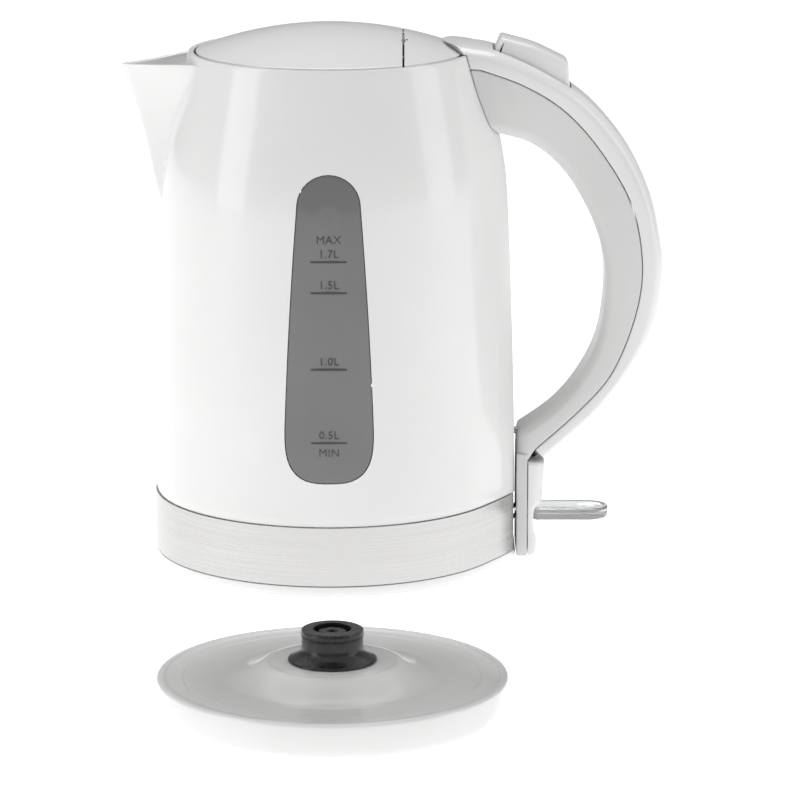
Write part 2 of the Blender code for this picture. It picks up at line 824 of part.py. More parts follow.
def make_lid():
    rim, hinge = BODY_RIM, HINGE_HEIGHT
    back = LID_RADIUS + 20
    bar, pin = HINGE_BARREL, HINGE_PIN
    top = turned("lid_top", dome_profile(), white, lid)
    change(top, half_space("cut_lid_back", SEAM_X - SEAM_GAP / 2, back, lid))
    root = max(hinge, lid_height(SEAM_X) - 0.5 * LID_WALL)
    tail = (
        (SEAM_X - 5.5, root),
        (SEAM_X - 5.5, rim - 6.0),
        (SEAM_X + 3.0, rim - 6.0),
        (SEAM_X + 3.0, rim - 3.0),
        (SEAM_X - 2.2, rim - 3.0),
        (SEAM_X - 2.2, root),
    )
    web = prism("add_lid_tail", tail, -LATCH_HALF_WIDTH, LATCH_HALF_WIDTH, None, lid)
    change(top, web, "UNION")
    far, near = HINGE_HALF, HINGE_MIDDLE + 0.4
    for number, (low_y, high_y) in enumerate(((-far, -near), (near, far))):
        change(top, barrel(f"add_lid_barrel_{number + 1}", bar, low_y, high_y, None, lid), "UNION")
    change(top, barrel("cut_lid_middle", bar + GAP, 0.05 - near, near - 0.05, None, lid))
    change(top, barrel("cut_lid_bore", pin + 0.2, -far - 4, far + 4, None, lid))
    liner = turned(
        "lid_liner",
        (
            (0, rim - 6.4),
            (LID_LINER_RADIUS - 2, rim - 6.4),
            (LID_LINER_RADIUS, rim - 7.4),
            (LID_LINER_RADIUS, rim - 8.5),
            (0, rim - 8.5),
        ),
        white,
        lid,
    )
    change(liner, half_space("cut_liner_back", SEAM_X - SEAM_GAP, back, lid))
    groove = LID_LINER_RADIUS + GAP
    seal = turned(
        "lid_seal",
        ((groove + 1.1, rim - 5.0), (groove + 1.1, rim - 7.8), (groove, rim - 7.8), (groove, rim - 5.0)),
        silicone,
        lid,
    )
    change(seal, half_space("cut_seal_back", SEAM_X - SEAM_GAP, back, lid))

    cap = turned("rear_cap", dome_profile(), white, jug)
    change(cap, half_space("cut_cap_front", -back, SEAM_X + SEAM_GAP / 2, jug))
    inner, outer = HINGE_MIDDLE / 2, HINGE_MIDDLE
    for number, (low_y, high_y) in enumerate(((-far - 0.4, -outer - 0.1), (outer + 0.1, far + 0.4))):
        change(cap, barrel(f"cut_cap_barrel_{number + 1}", bar + GAP, low_y, high_y, None, jug))
    for number, (low_y, high_y) in enumerate(((-outer, -inner), (inner, outer))):
        change(cap, barrel(f"add_cap_knuckle_{number + 1}", bar, low_y, high_y, None, jug), "UNION")
    change(cap, barrel("cut_cap_spring", bar + GAP, -inner, inner, None, jug))
    change(cap, barrel("cut_cap_bore", pin + 0.2, -far - 4, far + 4, None, jug))
    barrel("lid_hinge_pin", pin, 1.0 - far, far - 1.0, steel, jug)
    turns, per_turn, wire = 4, 8, 0.28
    coil_radius, coil_width = pin + wire + 0.17, 2 * inner - 1.6
    coil = [
        (
            SEAM_X + coil_radius * math.cos(2 * math.pi * step / per_turn),
            coil_width * (step / (turns * per_turn) - 0.5),
            hinge + coil_radius * math.sin(2 * math.pi * step / per_turn),
        )
        for step in range(turns * per_turn + 1)
    ]
    tube("lid_spring", coil, wire, steel, jug, resolution=0)
    return cap


# ---------------------------------------------------------------- handle


def handle_width(x, height):
    """Share by which the handle is wider near the lid than along its bow."""
    near_jug = 1.0 - smoothstep(BODY_RADIUS - 13.5, BODY_RADIUS + 38.5, x)
    near_lid = smoothstep(stretched(120.0), stretched(190.0), height)
    return 1.0 + HANDLE_ROOT_EXTRA / HANDLE_HALF_WIDTH * near_jug * near_lid


def handle_piece(name, outline, look):
    piece = prism(name, outline, -HANDLE_HALF_WIDTH, HANDLE_HALF_WIDTH, look, jug)
    for vertex in piece.data.vertices:
        vertex.co.y *= handle_width(vertex.co.x / MM, vertex.co.z / MM)
    rounded(piece, 4.0, segments=2)
    return piece


def make_handle():
    seam = smooth_path(on_handle(HANDLE_SEAM), 2)
    outer = smooth_path(on_handle(HANDLE_OUTER), 2)
    inner = smooth_path(on_handle(HANDLE_INNER), 2)
    start_z = seam[0][1]
    cover_outline = list(reversed(outer)) + [(outer[0][0], start_z + 0.4)] + shifted(seam, GAP / 2)
    cover = handle_piece("handle_cover", cover_outline, white)
    edge, low = LID_RADIUS, BODY_RIM - 14.0
    dome = [(x, lid_height(x) + 0.5) for x in (0, edge - 16.5, edge - 9.5, edge - 5.5, edge - 1.5)]
    crease = math.radians(FAIRING_CREASES[-1][0])
    levels = (BODY_RIM, low + 12, low + 8, low + 4, low)
    wall = [(body_radius(z, crease) + 2 * GAP, z) for z in levels]
    room_profile = [*dome, (edge + 3.9, BODY_RIM + 0.5), *wall, (0, low)]
    room = turned("cut_handle_lid", room_profile, None, jug)
    change(cover, room)
    root_heights = [BODY_RIM - drop for drop in (14.0, 20.0, 26.0)]
    grip_root = [(body_radius(z, 0.0) + GAP, z) for z in root_heights]
    heel = [
        (FOOT_FRONT + 0.2, 51.0),
        (FOOT_FRONT + 0.2, HANDLE_END_HEIGHT),
        (FOOT_FRONT + 8.6, HANDLE_END_HEIGHT),
    ]
    grip_outline = grip_root + inner + heel + list(reversed(shifted(seam, -GAP / 2)))
    grip = handle_piece("handle_grip", grip_outline, white_matte)
    half, wall = HOUSING_HALF_WIDTH, HOUSING_WALL
    foot = box(
        "add_handle_foot",
        (FOOT_FRONT, -half, HOUSING_BOTTOM),
        (HOUSING_FRONT - GAP, half, HANDLE_END_HEIGHT + 2.0),
        None,
        jug,
    )
    change(grip, foot, "UNION")
    foot_hollow = box(
        "cut_handle_foot",
        (FOOT_FRONT - 5, wall - half, HOUSING_BOTTOM + wall),
        (HOUSING_BACK, half - wall, HOUSING_TOP - wall),
        None,
        jug,
    )
    change(grip, foot_hollow)
    steam_height = BODY_RIM - 14.0
    drop_x = FOOT_FRONT + 5.8
    top_end = [(BODY_RADIUS - 23.5, steam_height), (BODY_RADIUS - 7.5, steam_height - 0.5)]
    run = shifted(seam, -2.6)[3:-2]
    middle = [*top_end, *run, (drop_x + 0.4, 45.5), (drop_x - 0.6, 30.0)]
    channel_outline = shifted(middle[1:], 3.4) + list(reversed(shifted(middle[1:], -3.4)))
    half = HANDLE_CHANNEL_HALF
    channel = prism("cut_handle_channel", channel_outline, -half, half, None, jug)
    change(grip, channel)
    change(cover, channel)
    route = [(BODY_RADIUS - 15.5, steam_height), *middle[1:-1], (drop_x, 39.6)]
    root_passage = rod(
        "cut_steam_passage",
        STEAM_TUBE_RADIUS + 2 * GAP,
        (BODY_RADIUS - 15.5, 0, steam_height),
        (BODY_RADIUS - 4, 0, steam_height - 0.6),
        None,
        jug,
    )
    change(grip, root_passage)
    tube("steam_tube", [(x, 0.0, z) for x, z in route], STEAM_TUBE_RADIUS, rubber, jug, resolution=1)
    return cover, grip


def along_button(x):
    """Height of the handle's outer edge, straight under the button."""
    reach = x - BODY_RADIUS
    return BODY_RIM + 1.7 - 16.5 * (reach + 5.7) / 33.5


def make_button_and_latch(cover, cap):
    tilt = math.radians(BUTTON_TILT)
    front, back, rim = BUTTON_FRONT, BUTTON_BACK, BODY_RIM
    depth = BUTTON_DEPTH
    outline = (
        (front + 0.6, along_button(front) - depth),
        (front + 0.6, along_button(front) + 0.8),
        (front + 2.2, rim + 5.4),
        (front + 4.2, rim + 6.5),
        (back - 3.0, rim - 2.8),
        (back - 0.7, rim - 5.4),
        (back - 0.2, along_button(back) - depth),
    )
    button = prism("lid_release_button", outline, -BUTTON_HALF_WIDTH, BUTTON_HALF_WIDTH, white, lid_button)
    rounded(button, 1.6, segments=2)
    floor = depth + BUTTON_TRAVEL + 1.2
    pocket = prism(
        "cut_button_pocket",
        (
            (front - 1.2, along_button(front) - floor),
            (front - 1.2, rim + 16),
            (back + 0.6, rim + 16),
            (back + 0.6, along_button(back) - floor),
        ),
        -BUTTON_HALF_WIDTH - 0.5,
        BUTTON_HALF_WIDTH + 0.5,
        None,
        jug,
    )
    change(cover, pocket)
    down = Vector((-math.sin(tilt), 0, -math.cos(tilt)))
    spring_x = (front + back) / 2 + 3.8
    seat = Vector((spring_x, 0, along_button(spring_x) - floor + 0.4))
    well = rod("cut_spring_well", 4.8, seat + down * 2, seat - down * 9.5, None, lid_button)
    change(button, well)
    turns, per_turn, coil_radius, length = 4, 10, 3.6, 7.4
    side = Vector((0, 1, 0))
    other = down.cross(side)
    coil = []
    for step in range(turns * per_turn + 1):
        turn = 2 * math.pi * step / per_turn
        rise = -down * (0.9 + length * step / (turns * per_turn))
        outward = side * math.cos(turn) + other * math.sin(turn)
        coil.append(seat + rise + outward * coil_radius)
    tube("button_spring", coil, 0.45, steel, lid_button, resolution=0)

    thickness, bar_top = LATCH_THICKNESS, rim + LATCH_RISE
    bend, lift, end = LID_RADIUS + 1.5, front + 4.4, front + 9.5
    hook, hook_low = SEAM_X + 0.8, rim - 6.5
    link = (
        (hook, hook_low),
        (hook + 3.8, hook_low),
        (hook + 3.8, bar_top),
        (bend, bar_top),
        (lift, along_button(lift) - floor + 2.0),
        (end, along_button(end) - floor + 2.0),
        (end, along_button(end) - floor + 2.0 - thickness),
        (lift - 0.4, along_button(lift - 0.4) - floor + 2.0 - thickness),
        (bend - 0.6, bar_top - thickness),
        (hook + 5.6, bar_top - thickness),
        (hook + 5.6, hook_low - 1.9),
        (hook, hook_low - 1.9),
    )
    prism("lid_latch", link, -LATCH_HALF_WIDTH, LATCH_HALF_WIDTH, white_matte, latch)
    low = bar_top - thickness - LATCH_TRAVEL - 0.6
    slot = (
        (hook + 9.2, bar_top + 0.6),
        (bend + 0.4, bar_top + 0.6),
        (lift + 0.6, along_button(lift + 0.6) - floor + 2.6),
        (end + 0.9, along_button(end + 0.9) - floor + 2.6),
        (end + 0.9, along_button(end + 0.9) - floor - LATCH_TRAVEL - 0.5),
        (lift - 0.9, along_button(lift - 0.9) - floor - LATCH_TRAVEL - 0.5),
        (bend - 1.0, low),
        (hook + 9.2, low),
    )
    passage = prism("cut_latch_passage", slot, -LATCH_HALF_WIDTH - 0.6, LATCH_HALF_WIDTH + 0.6, None, jug)
    change(cover, passage)
    change(cap, passage)


# ---------------------------------------------------------------- switch


def housing_side(inset):
    """Side outline (X, height) of the switch housing, which steps in at the lever."""
    front = HOUSING_FRONT - (5.0 if inset else 0.0)
    back = HOUSING_BACK - inset
    low = HOUSING_BOTTOM + inset
    return (
        (front, HOUSING_TOP - inset),
        (back, HOUSING_TOP - inset),
        (back - 1.0, LEVER_HEIGHT + 6.5 + inset),
        (back - 4.6, LEVER_HEIGHT + 4.6 + inset),
        (back - 4.6, LEVER_HEIGHT - 6.0),
        (back - 3.4, LEVER_HEIGHT - 8.0 - inset),
        (back - 3.4, HOUSING_BOTTOM + 3.0),
        (back - 4.6, low),
        (front, low),
    )


def housing_plan(inset):
    """Outline (X, Y) of the switch housing from above, with round corners at the back."""
    half = HOUSING_HALF_WIDTH - inset
    back = HOUSING_BACK - inset
    corner = HOUSING_CORNER - inset
    front = HOUSING_FRONT - 10.0
    turns = [math.radians(90.0 * step / 4) for step in range(5)]
    right = [(back - corner + corner * math.sin(a), -half + corner - corner * math.cos(a)) for a in turns]
    left = [(x, -y) for x, y in reversed(right)]
    return [(front, -half), *right, *left, (front, half)]


def make_switch(grip):
    wall, half, pivot = HOUSING_WALL, HOUSING_HALF_WIDTH, LEVER_PIVOT_X
    housing = prism("switch_housing", housing_side(0.0), -half, half, white, jug)
    plan = prism("cut_housing_plan", housing_plan(0.0), -5, HOUSING_TOP + 18, None, jug, plane="XY")
    change(housing, plan, "INTERSECT")
    hollow = prism("cut_housing_side", housing_side(wall), wall - half, half - wall, None, jug)
    inner_plan = prism("cut_housing_inner_plan", housing_plan(wall), -5, HOUSING_TOP + 18, None, jug, plane="XY")
    change(hollow, inner_plan, "INTERSECT")
    change(housing, hollow)
    slot = box(
        "cut_lever_slot",
        (pivot, -LEVER_HALF_WIDTH - 0.5, LEVER_HEIGHT - LEVER_THICKNESS / 2 - 2.0),
        (HOUSING_BACK + 5, LEVER_HALF_WIDTH + 0.5, LEVER_HEIGHT + LEVER_THICKNESS / 2 + 0.8),
        None,
        jug,
    )
    change(housing, slot)
    steam_x = FOOT_FRONT + 5.8
    steam = rod(
        "cut_housing_steam",
        STEAM_TUBE_RADIUS + 2 * GAP,
        (steam_x, 0, HOUSING_TOP - 6),
        (steam_x + 0.4, 0, HOUSING_TOP + 8),
        None,
        jug,
    )
    change(housing, steam)
    for name, radius, height in (("lever", LEVER_PIN, LEVER_HEIGHT), ("rocker", ROCKER_PIN, ROCKER_PIVOT_HEIGHT)):
        bore_ends = (pivot, 0.6 - half, height), (pivot, half - 0.6, height)
        bore = rod(f"cut_{name}_bore", radius + 0.2, *bore_ends, None, jug)
        change(grip, bore)
        rod(f"{name}_pivot_pin", radius, (pivot, 1.2 - half, height), (pivot, half - 1.2, height), steel, jug)

    wide, root = LEVER_HALF_WIDTH, LEVER_ROOT_HALF
    start, shoulder = pivot - 2.6, HOUSING_FRONT + 1.0
    tip_centre = pivot + LEVER_REACH - wide
    tip = [
        (tip_centre + wide * math.cos(math.radians(a)), wide * math.sin(math.radians(a)))
        for a in range(-90, 91, 15)
    ]
    right = [(start, -root), (shoulder, -root), (shoulder + 1.5, -wide)]
    left = [(x, -y) for x, y in reversed(right)]
    lever = prism(
        "switch_lever",
        [*right, *tip, *left],
        LEVER_HEIGHT - LEVER_THICKNESS / 2,
        LEVER_HEIGHT + LEVER_THICKNESS / 2,
        clear,
        switch,
        plane="XY",
    )
    rounded(lever, 0.9, segments=2)
    ends = ((pivot, -wide - 2, LEVER_HEIGHT), (pivot, wide + 2, LEVER_HEIGHT))
    change(lever, rod("cut_switch_lever_bore", LEVER_PIN + 0.2, *ends, None, switch))

    high, low = ROCKER_PIVOT_HEIGHT + 2.0, LEVER_HEIGHT + LEVER_THICKNESS / 2 + 1.8
    arm_outline = (
        (pivot - 1.8, high),
        (pivot - 1.8, low + 0.6),
        (pivot, low),
        (pivot + 1.8, low + 1.6),
        (pivot + 1.8, high),
    )
    arm = prism("trip_rocker", arm_outline, -4.0, 4.0, black, rocker)
    ends = ((pivot, -6, ROCKER_PIVOT_HEIGHT), (pivot, 6, ROCKER_PIVOT_HEIGHT))
    change(arm, rod("cut_trip_rocker_bore", ROCKER_PIN + 0.2, *ends, None, rocker))
    disc_x, disc_height = HOUSING_FRONT + 2.3, ROCKER_PIVOT_HEIGHT - 2.5
    disc_ends = (disc_x, 0, disc_height), (disc_x + 0.6, 0, disc_height)
    rod("bimetal_disc", 6.0, *disc_ends, brass, jug, steps=MEDIUM)
    block_low = LEVER_HEIGHT + 5.1
    front, side_y = FOOT_FRONT + 0.6, 8.2
    block_end = (front + 4.6, side_y + 3, block_low + 9.4)
    box("switch_contact_block", (front, side_y - 3, block_low), block_end, black, jug)
    lamp_height = LEVER_HEIGHT + 8.2
    lamp_ends = (front, -side_y, lamp_height), (front + 5.0, -side_y, lamp_height)
    rod("indicator_lamp", 1.9, *lamp_ends, lamp_glass, jug)
    clear_of_block, clear_of_lamp = block_low - LEAD_RADIUS - 0.2, lamp_height - 1.9 - LEAD_RADIUS - 0.2
    for name, side, end_height in (("lead_line", 1, clear_of_block), ("lead_neutral", -1, clear_of_lamp)):
        route = (
            (CONTROLLER_RADIUS + 1.0, side * 5.0, 17.0),
            (CONTROLLER_RADIUS + 10.0, side * 6.0, 14.5),
            (BODY_RADIUS - 17.5, side * 7.0, 13.0),
            (BODY_RADIUS - 3.5, side * 7.6, 14.0),
            (FOOT_FRONT - 0.2, side * 7.9, LEVER_HEIGHT),
            (front + 1.4, side * side_y, end_height),
        )
        tube(name, smooth_path(route, 3), LEAD_RADIUS, rubber, jug, resolution=0)


def make_handle_screws(shell, grip):
    """Screws that hold the handle, driven from inside the jug."""
    for name, height in zip(("handle_screw_upper", "handle_screw_lower"), HANDLE_SCREW_HEIGHTS):
        seat = body_radius(height + 4.0, 0.0) - BODY_WALL - GAP
        hole = rod("cut_" + name, 1.8, (seat - 1, 0, height), (seat + HANDLE_SCREW + 1, 0, height), None, jug)
        change(grip, hole)
        change(shell, hole)
        turned(
            name,
            screw_profile(3.2, 1.5, 1.5, HANDLE_SCREW),
            steel,
            jug,
            steps=12,
            location=(seat, 0, height),
            rotation=(0, math.pi / 2, 0),
        )


# ---------------------------------------------------------------- power base


def make_base():
    rim, wall = BASE_RIM_HEIGHT, BASE_WALL
    dome = rim + BASE_DOME_RISE
    radius = BASE_RADIUS
    hole = CONNECTOR_BARREL + 0.5
    low = UNDERPLATE_BOTTOM + 0.8
    middle = (BASE_DOME_RADIUS + BASE_PLATEAU_RADIUS) / 2
    floor = rim - BASE_GROOVE
    cover = turned(
        "base_cover",
        (
            (hole, dome),
            (BASE_PLATEAU_RADIUS - 1.5, dome),
            (BASE_PLATEAU_RADIUS + 2.0, dome - 0.7),
            (middle, (dome + floor) / 2 - 0.6),
            (BASE_DOME_RADIUS - 3.0, floor + 0.4),
            (BASE_DOME_RADIUS, floor),
            (radius - 3.8, floor),
            (radius - 3.1, rim),
            (radius - 1.0, rim),
            (radius, rim - 1.2),
            (radius - 1.6, low + 1.6),
            (radius - 3.2, low),
            (radius - 3.2 - wall, low),
            (radius - 1.6 - wall, low + 2.5),
            (radius - 0.6 - wall, rim - wall - 1.5),
            (BASE_DOME_RADIUS, floor - wall),
            (middle, (dome + floor) / 2 - 0.6 - wall),
            (BASE_PLATEAU_RADIUS, dome - 0.5 - wall),
            (hole, dome - wall),
        ),
        white,
        swivel,
    )
    gland_hole = rod(
        "cut_gland_hole",
        GLAND_RADIUS + GAP,
        (0, radius - 12, GLAND_HEIGHT),
        (0, radius + 5, GLAND_HEIGHT),
        None,
        swivel,
        steps=20,
    )
    change(cover, gland_hole)
    gland = rod(
        "cord_gland",
        GLAND_RADIUS,
        (0, radius - 10, GLAND_HEIGHT),
        (0, radius - 0.2, GLAND_HEIGHT),
        rubber,
        swivel,
        steps=20,
    )
    bore = rod(
        "cut_gland_bore", 2.3, (0, radius - 15, GLAND_HEIGHT), (0, radius + 5, GLAND_HEIGHT), None, swivel
    )
    change(gland, bore)

    plate_radius = radius - 3.2 - wall - GAP
    bottom, top = UNDERPLATE_BOTTOM, UNDERPLATE_BOTTOM + UNDERPLATE_THICKNESS
    plate = turned(
        "base_underplate",
        ((0, top), (plate_radius, top), (plate_radius, bottom), (0, bottom)),
        white_matte,
        swivel,
    )
    for number in range(4):
        angle = math.radians(45 + 90 * number)
        x, y = FOOT_CIRCLE * math.cos(angle), FOOT_CIRCLE * math.sin(angle)
        pocket = rod(
            f"cut_foot_{number + 1}", FOOT_RADIUS + GAP, (x, y, -1), (x, y, FOOT_HEIGHT + GAP), None, swivel
        )
        change(plate, pocket)
        turned(
            f"rubber_foot_{number + 1}",
            ((0, FOOT_HEIGHT), (FOOT_RADIUS, FOOT_HEIGHT), (FOOT_RADIUS, 0.4), (FOOT_RADIUS - 0.5, 0), (0, 0)),
            rubber,
            swivel,
            steps=20,
            location=(x, y, 0),
        )
    for number in range(3):
        angle = math.radians(90 + 120 * number)
        circle = (BASE_DOME_RADIUS + BASE_PLATEAU_RADIUS) / 2 + 3.0
        x, y = circle * math.cos(angle), circle * math.sin(angle)
        hole_cutter = rod(f"cut_base_screw_{number + 1}", 1.7, (x, y, -1), (x, y, 6), None, swivel)
        head_room = rod(f"cut_base_head_{number + 1}", 3.4, (x, y, -1), (x, y, bottom + 1.3), None, swivel)
        change(plate, hole_cutter)
        change(plate, head_room)
        turned(
            f"base_screw_{number + 1}",
            screw_profile(3.0, 0.9, 1.4, 8.0),
            steel,
            swivel,
            steps=12,
            location=(x, y, bottom + 1.0),
        )
    block_end = TERMINAL_START + TERMINAL_DEPTH
    box(
        "terminal_block",
        (-TERMINAL_HALF, TERMINAL_START, top + GAP),
        (TERMINAL_HALF, block_end, top + 8),
        black,
        swivel,
    )
    for name, side in (("base_lead_line", 1), ("base_lead_neutral", -1)):
        route = (
            (side * 1.3, radius - 13.5, GLAND_HEIGHT),
            (side * 3.5, radius - 21.0, GLAND_HEIGHT - 0.5),
            (side * 5.0, block_end + 9.0, GLAND_HEIGHT - 1.0),
            (side * 5.0, block_end + 1.2, GLAND_HEIGHT - 1.0),
        )
        tube(name, smooth_path(route, 3), LEAD_RADIUS, rubber, swivel, resolution=0)


def make_connector():
    rim = BASE_RIM_HEIGHT
    dome = rim + BASE_DOME_RISE
    top = rim + CONNECTOR_HEIGHT
    barrel_radius, flange = CONNECTOR_BARREL, CONNECTOR_FLANGE
    cup_floor = top - CONNECTOR_CUP_DEPTH
    cavity_top = cup_floor - 3.0
    low = UNDERPLATE_BOTTOM + UNDERPLATE_THICKNESS + 1.6
    snap = dome - BASE_WALL - GAP
    turned(
        "connector_body",
        (
            (CONNECTOR_CUP, top),
            (CONNECTOR_RADIUS - 0.8, top),
            (CONNECTOR_RADIUS, top - 0.8),
            (CONNECTOR_RADIUS, top - 3.2),
            (CONNECTOR_RADIUS - 0.3, top - 3.6),
            (CONNECTOR_RADIUS - 0.3, dome + 5.8),
            (CONNECTOR_RADIUS + 1.6, dome + 3.2),
            (flange - 0.6, dome + 1.3),
            (flange, dome + 0.4),
            (barrel_radius, dome + 0.4),
            (barrel_radius, snap),
            (barrel_radius + 1.4, snap - 0.2),
            (barrel_radius, snap - 2.6),
            (barrel_radius, low),
            (barrel_radius - 2.0, low),
            (barrel_radius - 2.0, cavity_top - 3.0),
            (barrel_radius - 6.0, cavity_top),
            (2.8, cavity_top),
            (2.8, cup_floor),
            (CONNECTOR_CUP, cup_floor),
        ),
        black,
        dock,
        steps=MEDIUM,
    )
    hub_low = cup_floor + GAP
    turned(
        "connector_hub",
        (
            (HUB_HOLE, top - 1.0),
            (HUB_RADIUS, top - 1.0),
            (HUB_RADIUS, hub_low + 1.4),
            (CONNECTOR_CUP - GAP, hub_low + 1.4),
            (CONNECTOR_CUP - GAP, hub_low),
            (HUB_HOLE, hub_low),
        ),
        black,
        dock,
        steps=MEDIUM,
    )
    for name, side in (("base_line_contact", 1), ("base_neutral_contact", -1)):
        box(name, (side * 7 - 0.5, -3, low + 2), (side * 7 + 0.5, 3, cavity_top - 4), brass, dock)


# ---------------------------------------------------------------- assembly


def empty(name, parent, location=(0, 0, 0), pivot=(0, 0, 0)):
    """An empty that moves its pieces: location shifts their origin, and pivot is a point on their joint."""
    made = bpy.data.objects.new(name, None)
    pieces.objects.link(made)
    made.parent = parent
    made["pivot"] = Vector(pivot) * MM
    made.location = (Vector(location) + Vector(pivot)) * MM
    return made


clear_scene()
pieces = new_collection("electric_kettle")
cutters = new_collection("cutters")

white = material("gloss_white", (0.86, 0.86, 0.85), 0.16)
white_matte = material("satin_white", (0.80, 0.80, 0.79), 0.35)
steel = material("brushed_steel", (0.62, 0.61, 0.60), 0.32, metallic=1.0)
aluminium = material("aluminium", (0.75, 0.75, 0.74), 0.45, metallic=1.0)
smoke = material("smoked_window", (0.30, 0.30, 0.31), 0.12, alpha=0.6)
black = material("black_plastic", (0.03, 0.03, 0.03), 0.4)
brass = material("brass", (0.78, 0.60, 0.32), 0.3, metallic=1.0)
silicone = material("silicone", (0.72, 0.72, 0.70), 0.6)
rubber = material("rubber", (0.06, 0.06, 0.06), 0.7)
clear = material("clear_plastic", (0.92, 0.94, 0.95), 0.05, alpha=0.3)
lamp_glass = material("lamp_glass", (0.55, 0.25, 0.15), 0.1, alpha=0.6)

jug = empty("jug_frame", None, (0, 0, LIFT))
dock = empty("dock_frame", None)
swivel = empty("swivel_frame", dock)
lid = empty("lid_frame", jug, pivot=(SEAM_X, 0, HINGE_HEIGHT))
lid_button = empty("button_frame", jug)
latch = empty("latch_frame", jug)
switch = empty("switch_frame", jug, pivot=(LEVER_PIVOT_X, 0, LEVER_HEIGHT))
rocker = empty("rocker_frame", jug, pivot=(LEVER_PIVOT_X, 0, ROCKER_PIVOT_HEIGHT))
filter_slide = empty("filter_slide_frame", jug)

body_shell = make_body_shell()
make_windows()
make_band_and_skirt()
make_heater()
make_bottom_cover()
make_filter()
rear_cap = make_lid()
handle_cover, handle_grip = make_handle()
make_button_and_latch(handle_cover, rear_cap)
make_switch(handle_grip)
make_handle_screws(body_shell, handle_grip)
make_base()
make_connector()
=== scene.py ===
"""Cordless electric kettle, held just above its power base: fine meshes, finishes and a studio stage.

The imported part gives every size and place. Lengths here are millimetres, measured on the jug from the
bottom of its skirt and on the power base from the table, and each mesh is brought to metres at the end.
"""

import json
import math

import bmesh
import bpy
from mathutils import Matrix, Vector


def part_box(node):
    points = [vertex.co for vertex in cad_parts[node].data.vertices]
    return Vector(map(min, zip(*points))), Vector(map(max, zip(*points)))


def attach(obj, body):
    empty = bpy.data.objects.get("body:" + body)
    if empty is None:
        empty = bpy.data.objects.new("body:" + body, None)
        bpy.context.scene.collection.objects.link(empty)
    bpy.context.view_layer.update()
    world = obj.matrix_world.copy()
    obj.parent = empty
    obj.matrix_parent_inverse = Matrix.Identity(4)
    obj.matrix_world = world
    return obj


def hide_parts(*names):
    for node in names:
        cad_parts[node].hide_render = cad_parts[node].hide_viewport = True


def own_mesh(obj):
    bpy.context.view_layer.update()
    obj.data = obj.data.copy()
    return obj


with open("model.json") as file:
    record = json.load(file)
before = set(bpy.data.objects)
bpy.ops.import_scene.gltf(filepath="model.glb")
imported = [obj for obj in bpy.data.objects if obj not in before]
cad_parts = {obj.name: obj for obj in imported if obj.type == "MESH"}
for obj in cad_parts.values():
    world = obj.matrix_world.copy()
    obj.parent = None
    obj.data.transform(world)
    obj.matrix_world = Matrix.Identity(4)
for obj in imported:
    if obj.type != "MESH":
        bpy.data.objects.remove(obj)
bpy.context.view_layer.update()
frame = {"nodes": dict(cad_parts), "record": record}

bl_info = {
    "name": "Cordless kettle",
    "version": (1, 0, 0),
    "blender": (4, 5, 0),
    "location": "3D View > Sidebar > Kettle",
    "description": "Builds the finished look of a cordless kettle on its packed frame",
    "category": "Add Mesh",
}

MM = 0.001
GAP = 0.3


def corner_low(node):
    """Lowest corner of a node, in millimetres."""
    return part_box(node)[0] / MM


def corner_high(node):
    """Highest corner of a node, in millimetres."""
    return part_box(node)[1] / MM


# ---------------------------------------------------------------- places taken from the frame

LIFT = corner_low("bottom_skirt").z
RIM = corner_high("body_shell").z - LIFT
BASE_RADIUS = corner_high("base_cover").x
BASE_DOME_TOP = corner_high("base_cover").z
CONNECTOR_TOP = corner_high("connector_body").z
CONNECTOR_FLANGE = corner_high("connector_body").x
BAND_TOP = corner_high("trim_band").z - LIFT
SKIRT_TOP = corner_high("bottom_skirt").z - LIFT
LEVER_TIP = corner_high("switch_lever").x
HOUSING_BACK = corner_high("switch_housing").x
HOUSING_FRONT = corner_low("switch_housing").x
HOUSING_TOP = corner_high("switch_housing").z - LIFT
HOUSING_BOTTOM = corner_low("switch_housing").z - LIFT
HOUSING_HALF = corner_high("switch_housing").y

# ---------------------------------------------------------------- shape of the jug

BODY_RADIUS = 73.5
BODY_WALL = 2.5
BODY_BOTTOM = 4.9
BAND_PROUD = 0.5
BODY_PROFILE = (  # (height, radius past the widest)
    (27.0, 0.0),
    (70.0, -0.6),
    (113.0, -1.9),
    (154.0, -3.6),
    (169.0, -4.9),
    (184.0, -7.8),
    (197.0, -11.0),
    (214.0, -14.8),
)
FAIRING_CREASES = ((30.0, 0.0), (20.0, 1.3), (10.0, 4.3))  # degrees from +X, and how far it stands out
FAIRING_FADE = 32.0
SPOUT_KEEL = (  # (height, reach past the widest radius)
    (150.0, -3.5),
    (158.5, -1.0),
    (174.5, 2.3),
    (191.0, 6.5),
    (209.0, 12.9),
)
SPOUT_TOP_TIP = 208.6
SPOUT_TOP_ROOT = 211.0
SPOUT_HALF_WIDTH = 23.5
SPOUT_WALL = 1.9
SPOUT_FLOOR = 176.0
SPOUT_FILLET = 2.2
WINDOW_BOTTOM = 47.6
WINDOW_TOP = RIM - 40.4
WINDOW_TOP_HALF = 12.9
WINDOW_LOW_HALF = 18.1
WINDOW_LOW_RISE = 21.5
WINDOW_SIDE_BULGE = 0.5
WINDOW_INSET = 0.25
WINDOW_THICKNESS = 2.0

LID_RADIUS = 55.5
LID_RISE = 10.5
LID_WALL = 2.2
SEAM_X = 30.0
SEAM_GAP = 0.8
HINGE_HEIGHT = 220.0

